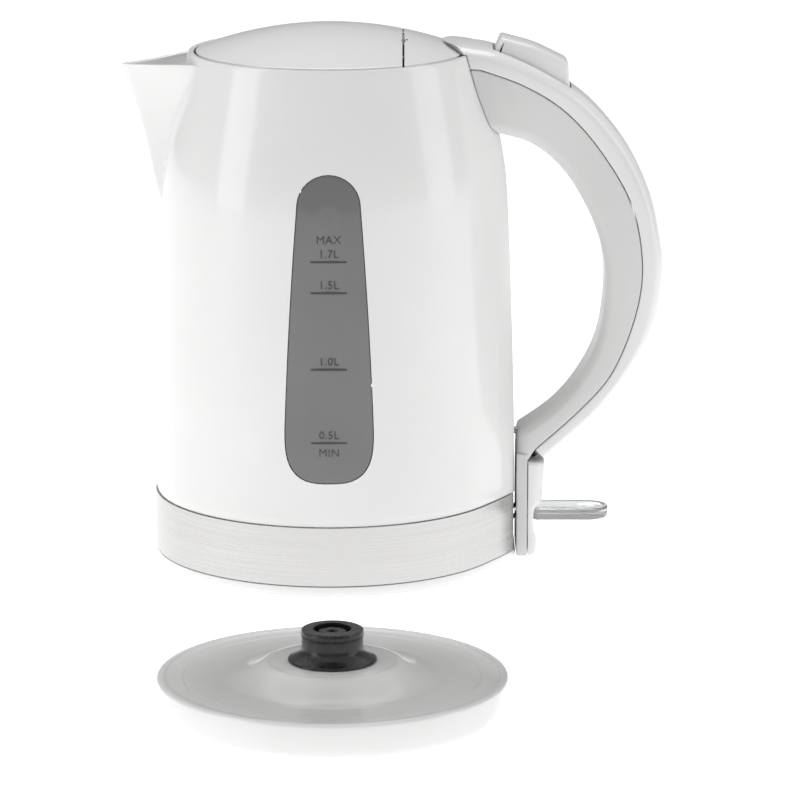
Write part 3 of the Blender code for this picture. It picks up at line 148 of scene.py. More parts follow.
HANDLE_OUTER = (  # (X past the widest radius, height) along the cover's back
    (-27.5, 218.6),
    (-15.9, 217.5),
    (-5.7, 215.6),
    (11.1, 208.4),
    (27.8, 198.6),
    (39.7, 187.6),
    (50.7, 172.8),
    (59.1, 154.8),
    (63.8, 134.1),
    (64.5, 121.0),
    (61.1, 98.3),
    (50.9, 79.5),
    (37.0, 61.3),
    (16.3, 43.0),
)
HANDLE_SEAM = (
    (-12.0, 208.2),
    (6.2, 201.2),
    (23.1, 190.3),
    (38.4, 173.0),
    (50.9, 151.0),
    (55.5, 126.2),
    (52.8, 104.5),
    (43.7, 81.0),
    (30.5, 65.0),
    (11.7, 47.8),
)
HANDLE_INNER = (
    (-2.7, 181.0),
    (10.4, 176.2),
    (23.3, 164.6),
    (33.7, 147.0),
    (39.1, 130.5),
    (40.2, 115.0),
    (37.5, 95.0),
    (30.1, 78.8),
    (19.0, 65.2),
    (4.7, 54.8),
)
HANDLE_HALF_WIDTH = 14.0
HANDLE_ROOT_EXTRA = 4.0
FOOT_FRONT = 77.4
FOOT_BACK = 82.0
FOOT_WALL = 1.8

BUTTON_FRONT = 67.2
BUTTON_BACK = 98.9
BUTTON_HALF = 9.5
BUTTON_DEPTH = 3.4
BUTTON_TILT = math.radians(19.4)

LEVER_HEIGHT = 18.3
LEVER_THICKNESS = 4.6
LEVER_HALF = 9.0
LEVER_ROOT_HALF = 5.5
LEVER_PIVOT_X = 80.2
LEVER_PIN = 1.2

LEVEL_MARKS = (("1.7L", 139.2), ("1.5L", 126.6), ("1.0L", 95.4), ("0.5L", 65.2))
LEVEL_LINE_HALF = 7.3


# ---------------------------------------------------------------- curves and joins


def along(points, value):
    """Second number of the smooth curve through points, at a given first number."""
    if value <= points[0][0]:
        return points[0][1]
    if value >= points[-1][0]:
        return points[-1][1]
    index = max(i for i in range(len(points) - 1) if points[i][0] <= value)
    before, after = points[index], points[index + 1]
    ahead = points[min(index + 2, len(points) - 1)]
    behind = points[max(index - 1, 0)]
    span = after[0] - before[0]
    slope_in = (after[1] - behind[1]) / (after[0] - behind[0])
    slope_out = (ahead[1] - before[1]) / (ahead[0] - before[0])
    t = (value - before[0]) / span
    return (
        (2 * t**3 - 3 * t**2 + 1) * before[1]
        + (t**3 - 2 * t**2 + t) * span * slope_in
        + (3 * t**2 - 2 * t**3) * after[1]
        + (t**3 - t**2) * span * slope_out
    )


def smooth_path(points, pieces):
    """Points on a smooth curve through the given ones, with pieces stretches between two of them."""
    ends = [points[0], *points, points[-1]]
    path = []
    for p0, p1, p2, p3 in zip(ends, ends[1:], ends[2:], ends[3:]):
        for step in range(pieces):
            t = step / pieces
            path.append(
                tuple(
                    b + 0.5 * t * (c - a + t * (2 * a - 5 * b + 4 * c - d + t * (3 * b - a - 3 * c + d)))
                    for a, b, c, d in zip(p0, p1, p2, p3)
                )
            )
    return [*path, tuple(points[-1])]


def even_path(points, count):
    """The same curve with count points at even distances along it."""
    lengths = [0.0]
    for before, after in zip(points, points[1:]):
        lengths.append(lengths[-1] + math.dist(before, after))
    spaced = []
    index = 0
    for step in range(count):
        goal = lengths[-1] * step / (count - 1)
        while index < len(lengths) - 2 and lengths[index + 1] < goal:
            index += 1
        share = (goal - lengths[index]) / (lengths[index + 1] - lengths[index])
        spaced.append(tuple(a + (b - a) * share for a, b in zip(points[index], points[index + 1])))
    return spaced


def smoothstep(low, high, value):
    share = min(max((value - low) / (high - low), 0.0), 1.0)
    return share * share * (3.0 - 2.0 * share)


def blended_max(first, second, width):
    """The larger of two numbers, with a rounded change from one to the other."""
    near = max(width - abs(first - second), 0.0) / width
    return max(first, second) + near * near * width / 4


def plain_radius(height):
    return BODY_RADIUS + along(BODY_PROFILE, height)


def jug_radius(height, angle):
    """Outer radius of the jug with its fairing, which has creases down the handle's side."""
    base = plain_radius(height)
    fade = min(max((RIM - height) / FAIRING_FADE, 0.0), 1.0) ** 1.5
    turn = abs(math.degrees(math.remainder(angle, 2 * math.pi)))
    corners = [(base + rise * fade, crease) for crease, rise in FAIRING_CREASES]
    corners.append((corners[-1][0], -corners[-1][1]))
    for (first, wide), (second, narrow) in zip(corners, corners[1:]):
        if narrow <= turn <= wide:
            apart, past, ahead = (math.radians(a) for a in (wide - narrow, turn - narrow, wide - turn))
            return first * second * math.sin(apart) / (first * math.sin(ahead) + second * math.sin(past))
    return base


def spout_radius(height, turn, inset=0.0):
    """Distance from the axis to the spout's flat side, at an angle from the keel."""
    share = min(max((height - SPOUT_KEEL[0][0]) / (SPOUT_KEEL[-1][0] - SPOUT_KEEL[0][0]), 0.0), 1.0)
    half = 0.6 + (SPOUT_HALF_WIDTH - 0.6) * share**2.3
    if abs(turn) > math.asin(half / plain_radius(height)) + math.radians(9.0):
        return 0.0
    keel = BODY_RADIUS + along(SPOUT_KEEL, height)
    root = math.sqrt(plain_radius(height) ** 2 - half**2)
    slope = max(keel - root, 0.2)
    length = math.hypot(half, slope)
    blunt = math.hypot(math.sin(turn), 0.010) - 0.010
    away = (half * math.cos(turn) + slope * blunt) / length
    return (keel * half / length - inset) / away


def lid_height(x, y=0.0):
    share = (x * x + y * y) / LID_RADIUS**2
    return RIM + GAP + (LID_RISE - GAP) * (1.0 - share)


def window_outline(inset, count):
    """Outline (X, height) of a water window, as count points at even distances."""
    half_top, half_low = WINDOW_TOP_HALF - inset, WINDOW_LOW_HALF - inset
    top_centre = WINDOW_TOP - inset - half_top
    low_centre = WINDOW_BOTTOM + inset + WINDOW_LOW_RISE
    steps = 24
    right = []
    for step in range(steps + 1):
        turn = math.pi / 2 * (1.0 - step / steps)
        right.append((half_top * math.cos(turn), top_centre + half_top * math.sin(turn)))
    for step in range(1, steps):
        share = step / steps
        across = half_top + (half_low - half_top) * share + WINDOW_SIDE_BULGE * 4 * share * (1 - share)
        right.append((across, top_centre + (low_centre - top_centre) * share))
    for step in range(steps + 1):
        turn = math.pi / 2 * step / steps
        across = half_low * abs(math.cos(turn)) ** (2 / 3)
        right.append((across, low_centre - WINDOW_LOW_RISE * math.sin(turn) ** (2 / 3)))
    left = [(-x, z) for x, z in reversed(right[1:-1])]
    ring = right + left
    return even_path([*ring, ring[0]], count + 1)[:-1]


# ---------------------------------------------------------------- mesh helpers


def woven(rows, columns, place, angle=2 * math.pi, closed_rows=False):
    """A sheet spun from a chain of rows, with each point then moved to place(row, share of the turn)."""
    bm = bmesh.new()
    chain = [bm.verts.new((1.0, 0.0, float(row))) for row in range(rows)]
    edges = [bm.edges.new(pair) for pair in zip(chain, chain[1:])]
    if closed_rows:
        edges.append(bm.edges.new((chain[-1], chain[0])))
    full = angle > 2 * math.pi - 0.001
    bmesh.ops.spin(
        bm,
        geom=chain + edges,
        cent=(0, 0, 0),
        axis=(0, 0, 1),
        angle=angle,
        steps=columns,
        use_merge=full,
        use_duplicate=False,
    )
    for vertex in bm.verts:
        turn = math.atan2(vertex.co.y, vertex.co.x) % (2 * math.pi)
        column = round(turn / angle * columns)
        if full:
            column %= columns
        vertex.co = place(round(vertex.co.z), column / columns)
    return bm


def spun(profile, steps, closed=True, angle=2 * math.pi):
    """A profile of (radius, height) turned about the vertical axis."""
    bm = bmesh.new()
    chain = [bm.verts.new((r, 0.0, z)) for r, z in profile]
    edges = [bm.edges.new(pair) for pair in zip(chain, chain[1:])]
    if closed:
        edges.append(bm.edges.new((chain[-1], chain[0])))
    bmesh.ops.spin(
        bm,
        geom=chain + edges,
        cent=(0, 0, 0),
        axis=(0, 0, 1),
        angle=angle,
        steps=steps,
        use_merge=True,
        use_duplicate=False,
    )
    return bm


def slab(outline, low, high, plane="XZ", rings=1):
    """A flat outline in the XZ or XY plane, thickened along the third axis."""
    bm = bmesh.new()
    flat = bmesh.ops.create_circle(bm, cap_ends=True, radius=1.0, segments=len(outline))
    for vertex, (a, b) in zip(flat["verts"], outline):
        vertex.co = (a, low, b) if plane == "XZ" else (a, b, low)
    push = Vector((0, high - low, 0)) if plane == "XZ" else Vector((0, 0, high - low))
    faces = bm.faces[:]
    for _ in range(rings):
        pushed = bmesh.ops.extrude_face_region(bm, geom=faces)
        moved = [part for part in pushed["geom"] if isinstance(part, bmesh.types.BMVert)]
        faces = [part for part in pushed["geom"] if isinstance(part, bmesh.types.BMFace)]
        bmesh.ops.translate(bm, vec=push / rings, verts=moved)
    return bm


def cushion(outline, low, high, radius, plane="XZ", steps=5):
    """A slab from low to high along the third axis, with both its outlines rounded over."""
    count = len(outline)
    normals = []
    for index in range(count):
        before, after = outline[index - 1], outline[(index + 1) % count]
        way = Vector((after[0] - before[0], after[1] - before[1])).normalized()
        normals.append(Vector((way.y, -way.x)))
    area = sum(a[0] * b[1] - b[0] * a[1] for a, b in zip(outline, [*outline[1:], outline[0]]))
    side = math.copysign(1.0, area)
    turns = [math.pi / 2 * step / steps for step in range(steps + 1)]
    rows = [(low + radius * (1 - math.cos(turn)), radius * (1 - math.sin(turn))) for turn in turns]
    middle = [(low + radius + (high - low - 2 * radius) * step / 8, 0.0) for step in range(1, 8)]
    rows = [*rows, *middle, *[(high + low - place, inset) for place, inset in reversed(rows)]]

    def place_point(row, share):
        index = round(share * count) % count
        depth, inset = rows[row]
        point = Vector(outline[index]) - normals[index] * side * inset
        return (point.x, depth, point.y) if plane == "XZ" else (point.x, point.y, depth)

    bm = woven(len(rows), count, place_point)
    bmesh.ops.holes_fill(bm, edges=[edge for edge in bm.edges if edge.is_boundary], sides=0)
    return bm


def rounded_outline(corners, steps=6):
    """Outline through (a, b, radius) corners, each turned into an arc."""
    outline = []
    for index, (a, b, radius) in enumerate(corners):
        here = Vector((a, b))
        before = (Vector(corners[index - 1][:2]) - here).normalized()
        after = (Vector(corners[(index + 1) % len(corners)][:2]) - here).normalized()
        if radius == 0:
            outline.append((a, b))
            continue
        half = before.angle(after) / 2
        centre = here + (before + after).normalized() * (radius / math.sin(half))
        start = here + before * (radius / math.tan(half)) - centre
        end = here + after * (radius / math.tan(half)) - centre
        turn = start.angle_signed(end)
        for step in range(steps + 1):
            share = -turn * step / steps
            cos, sin = math.cos(share), math.sin(share)
            arm = Vector((start.x * cos - start.y * sin, start.x * sin + start.y * cos))
            outline.append(tuple(centre + arm))
    return outline


def block(low, high):
    bm = bmesh.new()
    bmesh.ops.create_cube(bm, size=1.0)
    bmesh.ops.scale(bm, vec=Vector(high) - Vector(low), verts=bm.verts)
    bmesh.ops.translate(bm, vec=(Vector(high) + Vector(low)) / 2, verts=bm.verts)
    return bm


def bar(radius, start, end, segments=32):
    """A round bar between two points."""
    start, end = Vector(start), Vector(end)
    bm = bmesh.new()
    bmesh.ops.create_cone(
        bm, cap_ends=True, segments=segments, radius1=radius, radius2=radius, depth=(end - start).length
    )
    turn = Vector((0, 0, 1)).rotation_difference(end - start).to_matrix().to_4x4()
    bmesh.ops.transform(bm, matrix=Matrix.Translation((start + end) / 2) @ turn, verts=bm.verts)
    return bm


def softened(bm, width, segments=3, angle=30.0, keep=None):
    """Bevels every edge that turns by more than an angle, apart from those that keep says to leave."""
    bm.normal_update()
    edges = [
        edge
        for edge in bm.edges
        if len(edge.link_faces) == 2
        and edge.calc_face_angle() > math.radians(angle)
        and not (keep and keep(edge))
    ]
    bmesh.ops.bevel(
        bm,
        geom=edges,
        offset=width,
        offset_type="OFFSET",
        affect="EDGES",
        segments=segments,
        profile=0.5,
        material=-1,
        clamp_overlap=True,
    )
    return bm


def sliced(bm, x, keep_low):
    """Cuts the mesh at a plane of constant X, keeps one side and closes the cut."""
    bmesh.ops.bisect_plane(
        bm,
        geom=bm.verts[:] + bm.edges[:] + bm.faces[:],
        dist=0.0001,
        plane_co=(x, 0, 0),
        plane_no=(1, 0, 0),
        clear_outer=keep_low,
        clear_inner=not keep_low,
    )
    rim = [edge for edge in bm.edges if edge.is_boundary]
    bmesh.ops.holes_fill(bm, edges=rim, sides=0)
    return bm


def put_mesh(bm, obj, lift, sharp):
    """Cleans a mesh made in millimetres, brings it to metres at its height and gives it to obj."""
    bmesh.ops.remove_doubles(bm, verts=bm.verts, dist=0.0005)
    bmesh.ops.dissolve_degenerate(bm, edges=bm.edges, dist=0.0005)
    bmesh.ops.recalc_face_normals(bm, faces=bm.faces)
    bmesh.ops.translate(bm, vec=(0, 0, lift), verts=bm.verts)
    bmesh.ops.scale(bm, vec=(MM, MM, MM), verts=bm.verts)
    bm.to_mesh(obj.data)
    bm.free()
    shade(obj.data, sharp)


def shade(mesh, sharp):
    mesh.shade_smooth()
    mesh.set_sharp_from_angle(angle=math.radians(sharp))


def piece(name, bm, finish, body, lift=None, replaced=(), sharp=32.0):
    """A finished piece: its mesh, its finish, the body that it rides on and the nodes that it stands for."""
    obj = bpy.data.objects.new(name, bpy.data.meshes.new(name))
    bpy.context.scene.collection.objects.link(obj)
    put_mesh(bm, obj, LIFT if lift is None else lift, sharp)
    obj.data.materials.append(finishes[finish])
    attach(obj, body)
    if replaced:
        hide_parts(*replaced)
    return obj


def carve(obj, cutters, lift=None, operation="DIFFERENCE", sharp=32.0):
    """Cuts each of the cutter meshes out of a piece."""
    helpers = []
    for bm in cutters:
        helper = bpy.data.objects.new("cutter", bpy.data.meshes.new("cutter"))
        bpy.context.scene.collection.objects.link(helper)
        put_mesh(bm, helper, LIFT if lift is None else lift, sharp)
        modifier = obj.modifiers.new("cut", "BOOLEAN")
        modifier.operation = operation
        modifier.solver = "EXACT"
        modifier.object = helper
        helpers.append(helper)
    bpy.context.view_layer.update()
    graph = bpy.context.evaluated_depsgraph_get()
    carved = bpy.data.meshes.new_from_object(obj.evaluated_get(graph))
    obj.modifiers.clear()
    obj.data = carved
    for helper in helpers:
        bpy.data.objects.remove(helper)
    shade(obj.data, sharp)
    return obj


# ---------------------------------------------------------------- finishes


def new_finish(name):
    """A material, its node tree and its shader."""
    made = bpy.data.materials.new(name)
    made.use_nodes = True
    tree = made.node_tree
    return made, tree, tree.nodes["Principled BSDF"]


def node(tree, kind, **values):
    made = tree.nodes.new(kind)
    for key, value in values.items():
        if key in made.inputs:
            made.inputs[key].default_value = value
        else:
            setattr(made, key, value)
    return made


def grain(tree, scale, detail=2.0, stretch=(1.0, 1.0, 1.0)):
    """Noise on the piece's own coordinates, as a number around one half."""
    place = tree.nodes.new("ShaderNodeTexCoord")
    mapping = tree.nodes.new("ShaderNodeMapping")
    mapping.inputs["Scale"].default_value = stretch
    tree.links.new(place.outputs["Object"], mapping.inputs["Vector"])
    made = tree.nodes.new("ShaderNodeTexNoise")
    made.inputs["Scale"].default_value = scale
    made.inputs["Detail"].default_value = detail
    tree.links.new(mapping.outputs["Vector"], made.inputs["Vector"])
    return made.outputs["Fac"]


def spread(tree, source, low, high):
    """The number source, from about 0.3 to 0.7, brought to a range."""
    made = tree.nodes.new("ShaderNodeMapRange")
    made.inputs["From Min"].default_value = 0.3
    made.inputs["From Max"].default_value = 0.7
    made.inputs["To Min"].default_value = low
    made.inputs["To Max"].default_value = high
    tree.links.new(source, made.inputs["Value"])
    return made.outputs["Result"]


def tinted(tree, source, low, high):
    """A colour between two, led by the number source."""
    made = tree.nodes.new("ShaderNodeValToRGB")
    made.color_ramp.elements[0].position = 0.35
    made.color_ramp.elements[0].color = (*low, 1.0)
    made.color_ramp.elements[1].position = 0.65
    made.color_ramp.elements[1].color = (*high, 1.0)
    tree.links.new(source, made.inputs["Fac"])
    return made.outputs["Color"]


def bumped(tree, shader, source, strength, distance):
    made = tree.nodes.new("ShaderNodeBump")
    made.inputs["Strength"].default_value = strength
    made.inputs["Distance"].default_value = distance
    tree.links.new(source, made.inputs["Height"])
    tree.links.new(made.outputs["Normal"], shader.inputs["Normal"])


def moulded_plastic(name, colour, roughness, coat=0.0, relief=0.02, pore=700.0):
    """Injection-moulded plastic: faint flow marks in its colour, uneven gloss and a fine skin."""
    made, tree, shader = new_finish(name)
    darker = tuple(part * 0.965 for part in colour)
    tree.links.new(tinted(tree, grain(tree, 14.0, 3.0), darker, colour), shader.inputs["Base Color"])
    low, high = roughness
    tree.links.new(spread(tree, grain(tree, 60.0, 4.0), low, high), shader.inputs["Roughness"])
    shader.inputs["Coat Weight"].default_value = coat
    shader.inputs["Coat Roughness"].default_value = 0.04
    bumped(tree, shader, grain(tree, pore, 2.0), relief, 0.0002)
    return made


def brushed_metal(name, colour, roughness, stretch, relief=0.25, anisotropy=0.5):
    """Metal with brush lines that run the way that stretch leaves short."""
    made, tree, shader = new_finish(name)
    darker = tuple(part * 0.86 for part in colour)
    lines = grain(tree, 1.0, 5.0, stretch)
    tree.links.new(tinted(tree, lines, darker, colour), shader.inputs["Base Color"])
    low, high = roughness
    tree.links.new(spread(tree, lines, low, high), shader.inputs["Roughness"])
    shader.inputs["Metallic"].default_value = 1.0
    shader.inputs["Anisotropic"].default_value = anisotropy
    bumped(tree, shader, lines, relief, 0.00005)
    return made


def plain_metal(name, colour, roughness, scale=180.0):
    """Bright metal with slight stains and scuffs."""
    made, tree, shader = new_finish(name)
    darker = tuple(part * 0.8 for part in colour)
    tree.links.new(tinted(tree, grain(tree, scale, 5.0), darker, colour), shader.inputs["Base Color"])
    low, high = roughness
    tree.links.new(spread(tree, grain(tree, scale * 2, 4.0), low, high), shader.inputs["Roughness"])
    shader.inputs["Metallic"].default_value = 1.0
    bumped(tree, shader, grain(tree, scale * 6, 2.0), 0.1, 0.0001)
    return made


def soft_rubber(name, colour, roughness):
    """Matt rubber or silicone with a dusty, grainy skin."""
    made, tree, shader = new_finish(name)
    lighter = tuple(part * 1.25 for part in colour)
    tree.links.new(tinted(tree, grain(tree, 300.0, 5.0), colour, lighter), shader.inputs["Base Color"])
    low, high = roughness
    tree.links.new(spread(tree, grain(tree, 120.0, 3.0), low, high), shader.inputs["Roughness"])
    bumped(tree, shader, grain(tree, 1500.0, 2.0), 0.25, 0.0002)
    return made


def clear_plastic(name, colour, alpha, roughness, transmission):
    """Clear or smoked plastic with faint moulding waves."""
    made, tree, shader = new_finish(name)
    darker = tuple(part * 0.9 for part in colour)
    tree.links.new(tinted(tree, grain(tree, 20.0, 3.0), darker, colour), shader.inputs["Base Color"])
    low, high = roughness
    tree.links.new(spread(tree, grain(tree, 40.0, 3.0), low, high), shader.inputs["Roughness"])
    shader.inputs["Alpha"].default_value = alpha
    shader.inputs["Transmission Weight"].default_value = transmission
    shader.inputs["IOR"].default_value = 1.49
    shader.inputs["Coat Weight"].default_value = 0.3
    bumped(tree, shader, grain(tree, 90.0, 2.0), 0.03, 0.0002)
    return made


finishes = {}


class KettleFinishSettings(bpy.types.PropertyGroup):
    """Colours of the kettle."""

    gloss_colour: bpy.props.FloatVectorProperty(
        name="Gloss plastic",
        description="Colour of the jug, the lid, the handle's cover and the power base",
        subtype="COLOR",
        size=3,
        min=0.0,
        max=1.0,
        default=(0.86, 0.86, 0.855),
    )
    # The satin colour is darker than the gloss white as painted shade: the grip is the same white plastic,
    # greyed to stand in for the shade on its sides.
    satin_colour_with_painted_shade: bpy.props.FloatVectorProperty(
        name="Satin plastic",
        description="Colour of the grip and of hidden white parts",
        subtype="COLOR",
        size=3,
        min=0.0,
        max=1.0,
        default=(0.74, 0.74, 0.735),
    )
    steel_colour: bpy.props.FloatVectorProperty(
        name="Steel",
        description="Colour of the band and the screws",
        subtype="COLOR",
        size=3,
        min=0.0,
        max=1.0,
        default=(0.58, 0.575, 0.57),
    )
    smoke_colour: bpy.props.FloatVectorProperty(
        name="Smoked plastic",
        description="Colour of the water windows",
        subtype="COLOR",
        size=3,
        min=0.0,
        max=1.0,
        default=(0.20, 0.20, 0.205),
    )
    black_colour: bpy.props.FloatVectorProperty(
        name="Black plastic",
        description="Colour of the connector",
        subtype="COLOR",
        size=3,
        min=0.0,
        max=1.0,
        default=(0.018, 0.018, 0.019),
    )


class KettleShapeSettings(bpy.types.PropertyGroup):
    """Fineness and edge sizes of the kettle's meshes."""

    jug_columns: bpy.props.IntProperty(
        name="Jug columns",
        description="Facets round the jug; a multiple of 36 puts edges on the fairing's creases",
        min=72,
        max=576,
        default=288,
    )
    turned_steps: bpy.props.IntProperty(
        name="Turned steps",
        description="Facets round the power base and the connector",
        min=48,
        max=256,
        default=144,
    )
    handle_stations: bpy.props.IntProperty(
        name="Handle stations",
        description="Sections along the handle",
        min=24,
        max=160,
        default=84,
    )
    edge_radius: bpy.props.FloatProperty(
        name="Edge radius",
        description="Rounding of small moulded edges",
        subtype="DISTANCE",
        unit="LENGTH",
        min=0.0001,
        max=0.002,
        default=0.0006,
    )


class KettleStageSettings(bpy.types.PropertyGroup):
    """Camera, floor and light."""

    camera_height: bpy.props.FloatProperty(
        name="Camera height",
        description="Height of the camera above the floor",
        subtype="DISTANCE",
        unit="LENGTH",
        default=0.55,
    )
    camera_distance: bpy.props.FloatProperty(
        name="Camera distance",
        description="Distance from the camera to the kettle's axis over the floor",
        subtype="DISTANCE",
        unit="LENGTH",
        default=1.80,
    )
    aim_height: bpy.props.FloatProperty(
        name="Aim height",
        description="Height above the floor at the middle of the view",
        subtype="DISTANCE",
        unit="LENGTH",
        default=0.1385,
    )
    aim_side: bpy.props.FloatProperty(
        name="Aim side",
        description="Distance from the kettle's axis to the middle of the view, towards the handle",
        subtype="DISTANCE",
        unit="LENGTH",
        default=0.0266,
    )
    lens: bpy.props.FloatProperty(
        name="Lens",
        description="Focal length for a sensor 36 mm wide",
        min=50.0,
        max=400.0,
        default=200.5,
    )
    light_power: bpy.props.FloatProperty(
        name="Light power",
        description="Strength of all studio lights together",
        min=0.1,
        max=5.0,
        default=1.0,
    )


# ---------------------------------------------------------------- operators


class KETTLE_OT_finishes(bpy.types.Operator):
    """Makes every finish of the kettle and puts them on the nodes carried over from the frame"""

    bl_idname = "kettle.finishes"
    bl_label = "Finishes"

    def execute(self, context):
        colours = context.scene.kettle_finish
        gloss = tuple(colours.gloss_colour)
        satin_with_painted_shade = tuple(colours.satin_colour_with_painted_shade)
        steel = tuple(colours.steel_colour)
        finishes.update(
            gloss_white=moulded_plastic("gloss_white", gloss, (0.13, 0.20), coat=0.25),
            # satin_white: the same white plastic with a satin gloss, its colour set darker than the gloss
            # white as painted shade on the grip.
            satin_white=moulded_plastic("satin_white", satin_with_painted_shade, (0.34, 0.44), relief=0.10, pore=1400.0),
            brushed_steel=brushed_metal("brushed_steel", steel, (0.22, 0.32), (12.0, 12.0, 5200.0)),
            aluminium=plain_metal("aluminium", (0.75, 0.75, 0.74), (0.38, 0.55)),
            smoked_window=clear_plastic(
                "smoked_window", tuple(colours.smoke_colour), 0.93, (0.10, 0.15), 0.0
            ),
            black_plastic=moulded_plastic(
                "black_plastic", tuple(colours.black_colour), (0.22, 0.34), relief=0.06, pore=1100.0
            ),
            brass=plain_metal("brass", (0.78, 0.60, 0.32), (0.22, 0.38)),
            silicone=soft_rubber("silicone", (0.66, 0.66, 0.64), (0.45, 0.6)),
            rubber=soft_rubber("rubber", (0.045, 0.045, 0.047), (0.55, 0.75)),
            clear_plastic=clear_plastic("clear_plastic", (0.90, 0.92, 0.93), 1.0, (0.03, 0.07), 0.92),
            lamp_glass=clear_plastic("lamp_glass", (0.50, 0.16, 0.07), 0.75, (0.05, 0.12), 0.4),
            level_print=moulded_plastic("level_print", (0.055, 0.055, 0.058), (0.35, 0.5)),
            moulded_mark=moulded_plastic("moulded_mark", (0.70, 0.70, 0.70), (0.2, 0.3)),
            dark_recess=moulded_plastic("dark_recess", (0.10, 0.10, 0.10), (0.3, 0.4)),
        )
        for entry in frame["record"]["subparts"]:
            slots = frame["nodes"][entry["node"]].data.materials
            slots.clear()
            slots.append(finishes[entry["material_slot"]])
        return {"FINISHED"}


def jug_rows():
    """Rows of the jug's section as (kind, number): up the outside, over the spout's lip and down inside."""
    shoulder = BAND_TOP + GAP
    rows = [("wall", BODY_BOTTOM, -0.6), ("wall", shoulder - 0.02, -0.6), ("wall", shoulder, -0.12)]
    rows += [("wall", BAND_TOP + GAP + 0.25, 0.0)]
    height = BAND_TOP + 4.0
    while height < 146.0:
        rows.append(("wall", height, 0.0))
        height += 5.0
    rows += [("side", share / 22, 0.0) for share in range(0, 22)]
    rows += [("lip", share / 4, 0.0) for share in range(0, 5)]
    rows += [("down", share / 12, 0.0) for share in range(1, 13)]
    rows += [("up", share / 12, 0.0) for share in range(0, 13)]
    rows += [("wall", 212.4, 0.0), ("wall", RIM - 0.6, -0.05)]
    rows += [("wall", RIM - 0.15, -0.25), ("wall", RIM, -0.7)]
    rows += [("wall", RIM, -1.8), ("wall", RIM - 0.15, -2.25), ("wall", RIM - 0.6, -2.45)]
    inside_heights = (210.0, 205.0, 200.0, 192.0, 184.0, 176.0, 169.0, 160.0)
    rows += [("wall", height, -BODY_WALL) for height in inside_heights]
    rows += [("wall", height, -BODY_WALL) for height in (150.0, 135.0, 120.0, 100.0, 80.0, 60.0, 40.0, 27.0)]
    rows += [("wall", 15.0, -BODY_WALL), ("wall", BODY_BOTTOM, -BODY_WALL)]
    return rows


def keel_turn(share):
    """Angle from the spout's keel at a share of the full turn, with the columns drawn towards the keel."""
    turn = math.remainder(2 * math.pi * share - math.pi, 2 * math.pi)
    wide = math.radians(28.0)
    if abs(turn) < wide:
        turn = math.copysign(wide * (abs(turn) / wide) ** 1.5, turn)
    return turn


def lip_height(turn):
    share = smoothstep(0.0, math.radians(24.0), abs(turn)) ** 0.8
    return SPOUT_TOP_TIP + (SPOUT_TOP_ROOT - SPOUT_TOP_TIP) * share


def cavity_floor(turn):
    """Height at which the inside of the spout meets the jug's wall."""
    top = lip_height(turn)
    height = SPOUT_FLOOR
    while height < top and spout_radius(height, turn, SPOUT_WALL) < plain_radius(height) + 0.15:
        height += 0.25
    return min(height, top)


class KETTLE_OT_jug(bpy.types.Operator):
    """Jug with its V-shaped spout, its fairing behind the handle and openings for the windows"""

    bl_idname = "kettle.jug"
    bl_label = "Jug"

    def execute(self, context):
        columns = context.scene.kettle_shape.jug_columns
        rows = jug_rows()
        floors = {}

        def place(row, share):
            kind, number, offset = rows[row]
            turn = keel_turn(share)
            angle = math.pi + turn
            top = lip_height(turn)
            if kind == "wall":
                height = number
                radius = jug_radius(height, angle) + offset
            elif kind == "side":
                height = 146.0 + (top - 0.5 - 146.0) * number
                radius = blended_max(jug_radius(height, angle), spout_radius(height, turn), SPOUT_FILLET)
            else:
                if share not in floors:
                    floors[share] = cavity_floor(turn)
                floor = floors[share]
                wall = jug_radius(top, angle)
                outer = blended_max(wall, spout_radius(top, turn), SPOUT_FILLET)
                inner = max(wall, spout_radius(top, turn, SPOUT_WALL)) if floor < top else wall
                if kind == "lip":
                    height = top - 0.35 * (abs(2 * number - 1)) ** 3 if outer - wall > 0.3 else top
                    radius = outer + (inner - outer) * number
                elif kind == "down":
                    height = top + (floor - top) * number
                    radius = max(jug_radius(height, angle), spout_radius(height, turn, SPOUT_WALL))
                    if floor >= top:
                        height, radius = top, wall
                else:
                    height = floor + (top - floor) * number
                    radius = jug_radius(height, angle)
            return (radius * math.cos(angle), radius * math.sin(angle), height)

        jug = piece(
            "jug_body",
            woven(len(rows), columns, place, closed_rows=True),
            "gloss_white",
            "kettle",
            replaced=("body_shell",),
            sharp=26.0,
        )
        far = BODY_RADIUS + 20
        windows = slab(window_outline(0.0, 120), -far, far)
        pour = softened(block((-66, -9.5, SPOUT_FLOOR + 1.5), (-50, 9.5, 203.0)), 3.0, 4)
        notch = block((50, -5.2, RIM - 3), (64, 5.2, RIM + 6))
        wiring = block((BODY_RADIUS - 8, -9, 8), (BODY_RADIUS + 7, 9, BAND_TOP))
        carve(jug, (windows, pour, notch, wiring), sharp=26.0)
        return {"FINISHED"}


